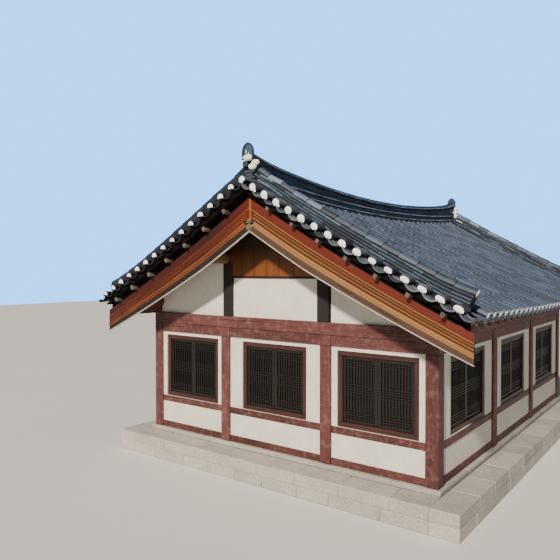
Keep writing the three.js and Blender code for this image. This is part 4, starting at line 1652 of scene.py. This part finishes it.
def bargeboards(end, name):
    batches = {stain: Batch() for stain, _, _ in BARGE_PIECES}
    for side in (-1, 1):
        # On the yard half the tones fall away from the seam: painted shade.
        stain_tone_and_shade = np.interp(barge_stations, *YARD_SHADE_STAINS) if side > 0 else STREET_STAIN
        red_tone_and_shade = np.interp(barge_stations, *YARD_SHADE_REDS) if side > 0 else STREET_STAIN
        for stain, first, last, depth in PLANKS:
            tone = red_tone_and_shade if stain == "red" else stain_tone_and_shade
            plank(batches[stain], end, side, first, last, depth, tone)
        seam_stain = "red" if side > 0 else "gold"
        batten(batches[seam_stain], end, side, 0.003, 0.045, 0.03, 0.60, 0.040)
        batten(batches["orange"], end, side, 0.060, 0.085, 0.31, 0.57, 0.043)
    node = f"{name}_bargeboards"
    for stain, part, material in BARGE_PIECES:
        make_piece(f"{name}_bargeboard_{part}", batches[stain], material,
                   [node] if stain == "red" else ())


print("planks in", len(BARGE_PIECES), "stains and finishes")

# %% [markdown]
# The clamp at the seam
#
# A forged iron clamp holds the two halves together: two oval plates, a bar across
# them with round heads, and under it a limewashed wooden boss. The plates are discs
# built up in rings like the plugs, because their rims are hammered round.

# %% Bargeboards and their clamps
CLAMP_FACE = BARGE_INNER + 0.045
PLATE_PROFILE = ((1.0, 0.0), (1.0, 0.7), (0.86, 1.0))
PLATE_OUT, PLATE_HALF_WIDTH, PLATE_HALF_HEIGHT, PLATE_THICK = 0.068, 0.050, 0.036, 0.012
PLATE_CROWN = 0.013
CLAMP_SHARE, BOSS_SHARE = 0.735, 0.88
oval_turns = np.linspace(0, 2 * math.pi, 16, endpoint=False)
OVAL = np.stack([PLATE_HALF_WIDTH * np.cos(oval_turns),
                 PLATE_HALF_HEIGHT * np.sin(oval_turns)], axis=1)


def clamp(end, name):
    plates, fixings, boss = Batch(), Batch(), Batch()
    z = float(barge_point(CLAMP_SHARE, 0.0))
    for y in (-PLATE_OUT, PLATE_OUT):
        ringed_plate(plates, OVAL + [y, z], np.array([y, z]), PLATE_PROFILE,
                     end * (CLAMP_FACE - 0.004), end * PLATE_THICK, end * PLATE_CROWN)
        log(fixings, (end * (CLAMP_FACE + 0.006), y, z), (end * (CLAMP_FACE + 0.017), y, z),
            0.009, 10)
    x = end * (CLAMP_FACE + 0.009)
    bar(fixings, (x, -0.07, z), (x, 0.07, z), 0.010, 0.018, 0.003)
    low = float(barge_point(BOSS_SHARE, 0.0))
    lump(boss, (end * (CLAMP_FACE - 0.012), 0.0, low), (0.020, 0.078, 0.056), 3, 7, 16)
    make_piece(f"{name}_clamp_plates", plates, iron)
    make_piece(f"{name}_clamp_bar", fixings, steel)
    make_piece(f"{name}_seam_boss", boss, limewashed, crease=60)


for end_name, end in ENDS:
    bargeboards(end, end_name)
    clamp(end, end_name)

# %% [markdown]
# The beam on the posts
#
# A beam of two squared timbers lies on the posts all around the house. The lower one
# is cut between the posts, and a joint of 3 mm shows above it. One function lays it
# along x, and a turned or moved batch carries it to its place.

# %% Beam
POST = 0.23
HALF_POST = POST / 2
CORNER_X, CORNER_Y = 4.2, 3.2
LONG_PLACES = (-CORNER_X, -1.4, 1.4, CORNER_X)
END_PLACES = (-CORNER_Y, -KNEE, KNEE, CORNER_Y)
BEAM_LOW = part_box("left_gable")[0].z
BEAM_TOP = 3.032
BEAM_JOINT = BEAM_LOW + 0.19
LOWER_TOP = BEAM_JOINT - 0.003
LOWER_INSET = 0.014


def stacked_beam(batch, places, heads, reach):
    """Both timbers along x: places are the posts, heads those that show in the beam."""
    for a, b in zip(places[:-1], places[1:]):
        block(batch, (a + HALF_POST, LOWER_INSET - HALF_POST, BEAM_LOW),
              (b - HALF_POST, HALF_POST - LOWER_INSET, LOWER_TOP))
    for place in heads:
        block(batch, (place - HALF_POST, -HALF_POST, BEAM_LOW),
              (place + HALF_POST, HALF_POST, LOWER_TOP), axis=2)
    block(batch, (-reach, -HALF_POST, BEAM_JOINT), (reach, HALF_POST, BEAM_TOP))


print("the beam is", round(1000 * (BEAM_TOP - BEAM_LOW)), "mm high")

# %% [markdown]
# Gable boards
#
# At the top of the gable, upright pine boards run up to the roof, painted darker toward it
# as its shade. Lines on one panel would do from afar, but seven plates with bevelled
# edges have real joints.

# %% Gable boards
PANEL_TOP = 3.835
BOARD_FOOT = PANEL_TOP + 0.012
BOARD_EDGES = (-1.1, -0.82, -0.50, -0.16, 0.14, 0.45, 0.78, 1.1)
BOARD_GAP, BOARD_BEVEL, BOARD_THICK = 0.003, 0.005, 0.04


def gable_boards(end, boards):
    """Upright boards whose tops follow the underside of the roof."""
    for y0, y1 in zip(BOARD_EDGES[:-1], BOARD_EDGES[1:]):
        tops = [float(deck_under(abs(y))) + 0.01 for y in (y0, y1)]
        left, right = y0 + BOARD_GAP, y1 - BOARD_GAP
        corners, faces = plate([(left, tops[0]), (right, tops[1])],
                               [(left, BOARD_FOOT), (right, BOARD_FOOT)],
                               [0, BOARD_THICK - BOARD_BEVEL, BOARD_THICK])
        outer = corners[:, 0] > BOARD_THICK - 0.001
        inward = np.where(corners[outer, 1] < (y0 + y1) / 2, BOARD_BEVEL, -BOARD_BEVEL)
        corners[outer, 1] += inward
        grain = shifted(corners[:, [2, 1, 0]])
        world_x = end * (CORNER_X + 0.046 + corners[:, 0])
        world = np.stack([world_x, corners[:, 1], corners[:, 2]], axis=1)
        boards.add(world, faces, some_tone(None), grain)


print(len(BOARD_EDGES) - 1, "boards in each gable")

# %% [markdown]
# Gable wall
#
# Between the beam and the boards are two short posts with a rail across them, both painted
# near black as shade. White plaster fills the rest up to the roof, so its upper edge is
# swept along the deck.

# %% Gable wall
SHORT_POST_Y = KNEE - 0.06
SHORT_POST_HALF = 0.122


def gable(end, name):
    x = end * CORNER_X
    band, boards, plaster, dark = Batch(math.pi / 2, (x, 0, 0)), Batch(), Batch(), Batch()
    stacked_beam(band, END_PLACES, END_PLACES[1:3], CORNER_Y - HALF_POST)
    # Short posts and the rail below the boards, near black as painted shade.
    for side in (-1, 1):
        y = side * SHORT_POST_Y
        block(dark, (x - 0.1, y - SHORT_POST_HALF, BEAM_TOP), (x + 0.1, y + SHORT_POST_HALF, 4.12),
              axis=2)
    block(dark, (x - 0.075, -1.1, PANEL_TOP - 0.03), (x + 0.075, 1.1, BOARD_FOOT), axis=1)
    gable_boards(end, boards)
    for side in (-1, 1):

        def section(s):
            y, top, low = side * s, float(deck_under(s)) + 0.01, BEAM_TOP - 0.01
            return [(x - 0.05, y, top), (x + 0.05, y, top)], [(x - 0.05, y, low), (x + 0.05, y, low)]

        sweep(plaster, [1.29, 1.9, 2.5, CORNER_Y - 0.05], section, 0.5)
        sweep(plaster, [0.0, 0.6, 1.12], section, 0.5)
    make_piece(f"{name}_gable_beam", band, painted_timber, [f"{name}_gable"])
    make_piece(f"{name}_gable_boards", boards, board_timber)
    make_piece(f"{name}_gable_plaster", plaster, wall_plaster)
    make_piece(f"{name}_gable_posts", dark, dark_timber)


for end_name, end in ENDS:
    gable(end, end_name)

# %% [markdown]
# Wall plates and roof frame
#
# Along the house the same two timbers lie on the posts. A narrow bolster stands on
# them and a round purlin rests on that, with the rafters across it. Inside, two
# crossbeams carry struts, tie beams and king posts under the upper purlins. None of
# it is cut with joints, because they are hidden: each timber ends against the next.

# %% Plates and roof frame
LOG_HALF = 4.944
PURLIN_LEVEL, PURLIN_RADIUS = 3.262, 0.112
BOLSTER_HALF, BOLSTER_TOP = 0.045, 3.19
CROSSBEAM_TOP = 3.016
TIE_BOTTOM = 3.824
UPPER_PURLINS = ((-KNEE, 4.207), (KNEE, 4.207), (0, 4.845))
TIE_TOP, KING_TOP = 4.2, 4.84
FRAME_CHAMFER = 0.012


def wall_plate(side, name):
    timbers = Batch(0.0, (0, side * CORNER_Y, 0))
    stacked_beam(timbers, LONG_PLACES, LONG_PLACES, CORNER_X + HALF_POST)
    block(timbers, (-FRAME_HALF, -BOLSTER_HALF, BEAM_TOP - 0.005),
          (FRAME_HALF, BOLSTER_HALF, BOLSTER_TOP))
    log(timbers, (-LOG_HALF, 0, PURLIN_LEVEL), (LOG_HALF, 0, PURLIN_LEVEL), PURLIN_RADIUS, 24)
    make_piece(f"{name}_plate_timbers", timbers, painted_timber,
               [f"{name}_plate"])


def roof_frame():
    timbers = Batch()
    for y, z in UPPER_PURLINS:
        log(timbers, (-LOG_HALF, y, z), (LOG_HALF, y, z), 0.11, 24)
    for x in LONG_PLACES[1:3]:
        block(timbers, (x - HALF_POST, -3.085, 2.716), (x + HALF_POST, 3.085, CROSSBEAM_TOP),
              FRAME_CHAMFER)
        block(timbers, (x - 0.09, -KNEE, TIE_BOTTOM), (x + 0.09, KNEE, TIE_TOP), FRAME_CHAMFER)
        block(timbers, (x - 0.09, -0.09, TIE_TOP), (x + 0.09, 0.09, KING_TOP), FRAME_CHAMFER)
        for side in (-1, 1):
            block(timbers, (x - 0.1, side * KNEE - 0.1, CROSSBEAM_TOP),
                  (x + 0.1, side * KNEE + 0.1, TIE_TOP), FRAME_CHAMFER)
    make_piece("roof_frame_timbers", timbers, bare_timber, ["roof_frame"])


for side_name, side in SIDES:
    wall_plate(side, side_name)
roof_frame()

# %% [markdown]
# Posts
#
# The posts are square pine with planed corners and red paint. Their sizes are read
# from the frame, and each is dressed with a chamfered block whose grain runs upright.

# %% Posts
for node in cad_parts:
    if "_post_" in node:
        low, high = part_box(node)
        batch = Batch()
        block(batch, tuple(low), tuple(high), 0.012, axis=2)
        make_piece(f"{node}_timber", batch, painted_timber, [node])

# %% [markdown]
# Walls
#
# The walls are clay on laths with a coat of lime plaster. Their shape in the frame is
# right, so it stays and only gets its finish. Timber sills and rails stand 15 mm
# proud of the plaster and divide it into panels. Each wall has its own place and
# turn, so one function serves all four.

# %% Walls and their rails
WALLS = {
    "street": (0.0, (0, -CORNER_Y, 0), LONG_PLACES, 1.80),
    "yard": (math.pi, (0, CORNER_Y, 0), LONG_PLACES, 1.80),
    "left": (-math.pi / 2, (-CORNER_X, 0, 0), END_PLACES, 1.54),
    "right": (math.pi / 2, (CORNER_X, 0, 0), END_PLACES, 1.54),
}
WALL_FACE = -0.07
RAIL_FRONT, RAIL_BACK = WALL_FACE - 0.015, WALL_FACE + 0.04
RAIL_LEVELS = ((0.50, 0.63), (1.07, 1.197))
DOOR_WIDTH = 1.54


def is_door(wall, bay):
    """Only the middle bay of the yard side has a door."""
    return wall == "yard" and bay == 1


def wall_rails(wall):
    turn, origin, places, _ = WALLS[wall]
    rails = Batch(turn, origin)
    for bay, (a, b) in enumerate(zip(places[:-1], places[1:])):
        spans = [(a + HALF_POST, b - HALF_POST)]
        if is_door(wall, bay):
            left, right = (a + b - DOOR_WIDTH) / 2, (a + b + DOOR_WIDTH) / 2
            spans = [(a + HALF_POST, left), (right, b - HALF_POST)]
        for x0, x1 in spans:
            for low, high in RAIL_LEVELS:
                block(rails, (x0, RAIL_FRONT, low), (x1, RAIL_BACK, high))
    make_piece(f"{wall}_wall_rails", rails, painted_timber)


for wall in WALLS:
    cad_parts[f"{wall}_wall"].data.materials[0] = wall_plaster
    wall_rails(wall)
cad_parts["floor"].data.materials[0] = oiled_paper

# %% [markdown]
# Lattice and door pulls
#
# A leaf is filled with a lattice: upright bars about 62 mm apart and three groups of
# level bars, half-lapped into each other. They are 12 mm wide and have no chamfer, as
# it would not show. The door pulls are thin rings of forged iron on small plates.

# %% Lattice and ring pulls
BAR_HALF, BAR_PITCH, BAR_GROUP = 0.006, 0.062, 0.045
PULL_HALF, PULL_RADIUS, PULL_THICK = 0.018, 0.026, 0.0035


def lattice(batch, x0, x1, z0, z1):
    """Upright and level bars between two corners of a leaf."""
    count = int((x1 - x0) / BAR_PITCH)
    for x in np.linspace(x0, x1, count + 2)[1:-1]:
        block(batch, (x - BAR_HALF, -0.012, z0), (x + BAR_HALF, 0.004, z1), 0)
    middle = (z0 + z1) / 2
    levels = [z0 + k * BAR_GROUP for k in (1, 2, 3)] + [z1 - k * BAR_GROUP for k in (1, 2, 3)]
    levels += [middle + k * BAR_GROUP for k in (-2, -1, 0, 1, 2)]
    for z in levels:
        block(batch, (x0, -0.015, z - BAR_HALF), (x1, -0.002, z + BAR_HALF), 0)


def pull_ring(batch, centre, sides=16, tube=6):
    """A ring that hangs flat against a leaf."""
    corners, faces = [], []
    for i in range(sides):
        turn = 2 * math.pi * i / sides
        for j in range(tube):
            roll = 2 * math.pi * j / tube
            out = PULL_RADIUS + PULL_THICK * math.cos(roll)
            corners.append((centre[0] + out * math.cos(turn),
                            centre[1] + PULL_THICK * math.sin(roll),
                            centre[2] + out * math.sin(turn)))
    for i in range(sides):
        for j in range(tube):
            a, b = i * tube, (i + 1) % sides * tube
            faces.append((a + j, a + (j + 1) % tube, b + (j + 1) % tube, b + j))
    batch.add(corners, faces, 0.5)


print("lattice bars", round(2000 * BAR_HALF), "mm wide")

# %% [markdown]
# Leaves
#
# A leaf has two stiles, two rails, the lattice and dark glass behind it. The leaves of
# the door have a solid panel below as well, a middle rail above it, and a ring pull.

# %% Leaves
LEAF_FRONT, LEAF_BACK = -0.017, 0.027
LEAF_CHAMFER = 0.004
STILE = 0.055
PANEL_INSET = 0.012
PULL_RISE = 0.95


def door_pull(pulls, x, z):
    """A small plate with a ring."""
    block(pulls, (x - PULL_HALF, LEAF_FRONT - 0.004, z - PULL_HALF),
          (x + PULL_HALF, LEAF_FRONT, z + PULL_HALF), 0.001)
    pull_ring(pulls, (x, LEAF_FRONT - 0.009, z - 0.028))


def leaf(side, outer, inner, z0, z1, panel, leaves, panes, pulls):
    """One leaf between its outer and its inner edge, added to three batches."""
    a, b = sorted((outer - side * STILE, inner + side * STILE))
    foot = z0 + STILE
    rails = [((outer, z0), (outer - side * STILE, z1)), ((inner, z0), (inner + side * STILE, z1)),
             ((a, z1 - STILE), (b, z1)), ((a, z0), (b, foot))]
    for (x0, low), (x1, high) in rails:
        block(leaves, (x0, LEAF_FRONT, low), (x1, LEAF_BACK, high), LEAF_CHAMFER)
    if panel:
        top = foot + panel
        block(leaves, (a, LEAF_FRONT + PANEL_INSET, foot), (b, LEAF_BACK - PANEL_INSET, top),
              LEAF_CHAMFER)
        block(leaves, (a, LEAF_FRONT, top), (b, LEAF_BACK, top + STILE), LEAF_CHAMFER)
        foot += panel + STILE
        door_pull(pulls, inner + side * STILE / 2, z0 + PULL_RISE)
    lattice(leaves, a, b, foot, z1 - STILE)
    block(panes, (a - 0.005, 0.006, foot - 0.005), (b + 0.005, 0.012, z1 - STILE + 0.005), 0.001)


print("a leaf is", round(1000 * (LEAF_BACK - LEAF_FRONT)), "mm thick")

# %% [markdown]
# Windows and the door
#
# Each opening has a stout frame with two leaves. They are closed and don't move. One
# function builds any of them from its width and its sill, and a panel height makes it
# a door.

# %% Casements
FRAME_FRONT, FRAME_BACK = -0.05, 0.06
JAMB = 0.09
LEAF_GAP = 0.0015
HEAD = 2.55
WINDOW_SILL, DOOR_SILL = 1.2, 0.72
DOOR_PANEL = 0.34


def casement(name, wall, centre, width, sill, panel=0.0):
    wood, leaves, panes, pulls = (Batch(*WALLS[wall][:2]) for _ in range(4))
    half = width / 2 - 0.001
    z0, z1 = sill + JAMB, HEAD - JAMB
    block(wood, (centre - half, FRAME_FRONT, z1), (centre + half, FRAME_BACK, HEAD - 0.001))
    block(wood, (centre - half, FRAME_FRONT, sill + 0.001), (centre + half, FRAME_BACK, z0))
    for side in (-1, 1):
        edge = centre + side * half
        block(wood, (edge, FRAME_FRONT, z0), (edge - side * JAMB, FRAME_BACK, z1))
        leaf(side, edge - side * JAMB, centre + side * LEAF_GAP, z0, z1, panel,
             leaves, panes, pulls)
    make_piece(f"{name}_frame", wood, window_timber, [name])
    make_piece(f"{name}_leaves", leaves, leaf_timber)
    make_piece(f"{name}_panes", panes, glass)
    if panel:
        make_piece(f"{name}_pulls", pulls, iron)


for wall, (_, _, places, width) in WALLS.items():
    for bay in range(3):
        centre = (places[bay] + places[bay + 1]) / 2
        if is_door(wall, bay):
            casement("yard_door", wall, centre, DOOR_WIDTH, DOOR_SILL, DOOR_PANEL)
        else:
            casement(f"{wall}_window_{bay + 1}", wall, centre, width, WINDOW_SILL)

# %% [markdown]
# Rows of dressed stone
#
# Blocks differ in length, and their faces are a few millimetres out of line. A brick
# pattern on one box would do from afar, but separate blocks have real joints. A row
# is laid from one end, and the last stone takes up what is left.

# %% Rows of stone
STONE_JOINT = 0.006
STONE_LENGTHS = 0.62, 0.98
SHORTEST_STONE = 0.5


def stone_row(batch, start, end, depth, low, high):
    """Blocks in a row from start to end, depth across, with open joints."""
    start, end = np.array(start, float), np.array(end, float)
    along = end - start
    length = np.linalg.norm(along)
    along = along / length
    across = np.array([-along[1], along[0]])
    half = STONE_JOINT / 2
    place = 0.0
    while place < length - 0.01:
        size = rng.uniform(*STONE_LENGTHS)
        if length - place - size < SHORTEST_STONE:
            size = length - place
        out = rng.uniform(0, 0.005)
        a = start + along * (place + half) + across * out
        b = start + along * (place + size - half) + across * (depth - 0.002)
        block(batch, (*a, low + half), (*b, high - rng.uniform(0, 0.002)), 0.009,
              axis=0 if abs(along[0]) > 0.5 else 1)
        place += size


def ring_of_stones(batch, outer, inner, low, high):
    """Four rows between an outer and an inner rectangle."""
    (ox, oy), (ix, iy) = outer, inner
    for start, end, depth in (((-ox, -oy), (ox, -oy), oy - iy), ((ox, oy), (-ox, oy), oy - iy),
                              ((ox, -iy), (ox, iy), ox - ix), ((-ox, iy), (-ox, -iy), ox - ix)):
        stone_row(batch, start, end, depth, low, high)


print("stones are", STONE_LENGTHS, "m long")

# %% [markdown]
# The stone platform
#
# The house stands on two courses of long blocks around the edge, with a curb of
# thinner stones under the walls, and on the yard side a step and a threshold stone.
# Mortar lies behind the joints.

# %% Platform stones
PLATFORM, CURB, LINING = (4.85, 3.85), (4.37, 3.37), (4.065, 3.065)
COURSE_TOP, PLATFORM_TOP, CURB_TOP = 0.21, 0.42, 0.50
STEP_HALF, STEP_FRONT, STEP_CHAMFER = 0.65, 4.19, 0.014
THRESHOLD_FRONT, THRESHOLD_TOP = 3.73, 0.59
MORTAR_INSET = 0.012

stones, bed = Batch(), Batch()
ring_of_stones(stones, PLATFORM, CURB, 0.0, COURSE_TOP)
ring_of_stones(stones, PLATFORM, CURB, COURSE_TOP, PLATFORM_TOP)
ring_of_stones(stones, CURB, LINING, PLATFORM_TOP, CURB_TOP)
block(stones, (-STEP_HALF, PLATFORM[1], 0.0), (STEP_HALF, STEP_FRONT, COURSE_TOP), STEP_CHAMFER)
block(stones, (-STEP_HALF, CURB[1], PLATFORM_TOP), (STEP_HALF, THRESHOLD_FRONT, THRESHOLD_TOP),
      STEP_CHAMFER)
for (x, y), low, top in ((PLATFORM, 0.004, PLATFORM_TOP), (CURB, 0.3, CURB_TOP)):
    x, y, top = x - MORTAR_INSET, y - MORTAR_INSET, top - MORTAR_INSET
    block(bed, (-x, -y, low), (x, y, top))
make_piece("platform_stones", stones, granite, ["platform"])
make_piece("platform_mortar", bed, joint_lime)

# %% [markdown]
# A quick stage
#
# A plain pale floor, a soft key light high in front of the near gable, as the sun
# stands in the photograph, and a pale sky that fills the shadows. The sky that the
# camera sees is brighter than the one that lights the house: the light path tells
# them apart.

# %% Stage and light
FLOOR_HALF = 60.0
FLOOR_DROP = 0.002
SKY_LIGHT, SKY_SEEN = ("#b9d5f2", 0.2), ("#62adf9", 3.8)

floor_mesh = bpy.data.meshes.new("stage_floor")
floor_corners = [(x * FLOOR_HALF, y * FLOOR_HALF, 0) for x, y in ((-1, -1), (1, -1), (1, 1), (-1, 1))]
floor_mesh.from_pydata(floor_corners, [], [(0, 1, 2, 3)])
floor_mesh.materials.append(plain_finish("pale_floor", "#d8d6d1", "#dedcd7", 4000, 0.9))
stage_floor = bpy.data.objects.new("stage_floor", floor_mesh)
bpy.context.collection.objects.link(stage_floor)
stage_floor.location.z = -FLOOR_DROP

world = bpy.data.worlds.new("pale_sky")
bpy.context.scene.world = world
world.use_nodes = True
sky_tree = world.node_tree
lighting, seen = (put(sky_tree, "Background", {"Color": colour, "Strength": strength})
                  for colour, strength in (SKY_LIGHT, SKY_SEEN))
is_seen = put(sky_tree, "LightPath", out="Is Camera Ray")
sky = put(sky_tree, "MixShader", {0: is_seen, 1: lighting, 2: seen})
fill(sky_tree.nodes["World Output"], {"Surface": sky})


def add_light(name, kind, energy, position, size, colour):
    """A light that looks at the house. A sun's size is an angle, a panel's a width."""
    data = bpy.data.lights.new(name, kind)
    data.energy = energy
    data.color = linear(colour)[:3]
    setattr(data, "angle" if kind == "SUN" else "size", size)
    light = bpy.data.objects.new(name, data)
    bpy.context.collection.objects.link(light)
    light.location = position
    aim = Vector((0, 0, 2)) - Vector(position)
    light.rotation_euler = aim.to_track_quat("-Z", "Y").to_euler()


add_light("key_sun", "SUN", 6.0, (-14.0, -3.0, 11.7), math.radians(5), "#fff3e4")
add_light("fill_panel", "AREA", 80, (-10, -16, 9), 10.0, "#eef4ff")
print("stage and lights ready")
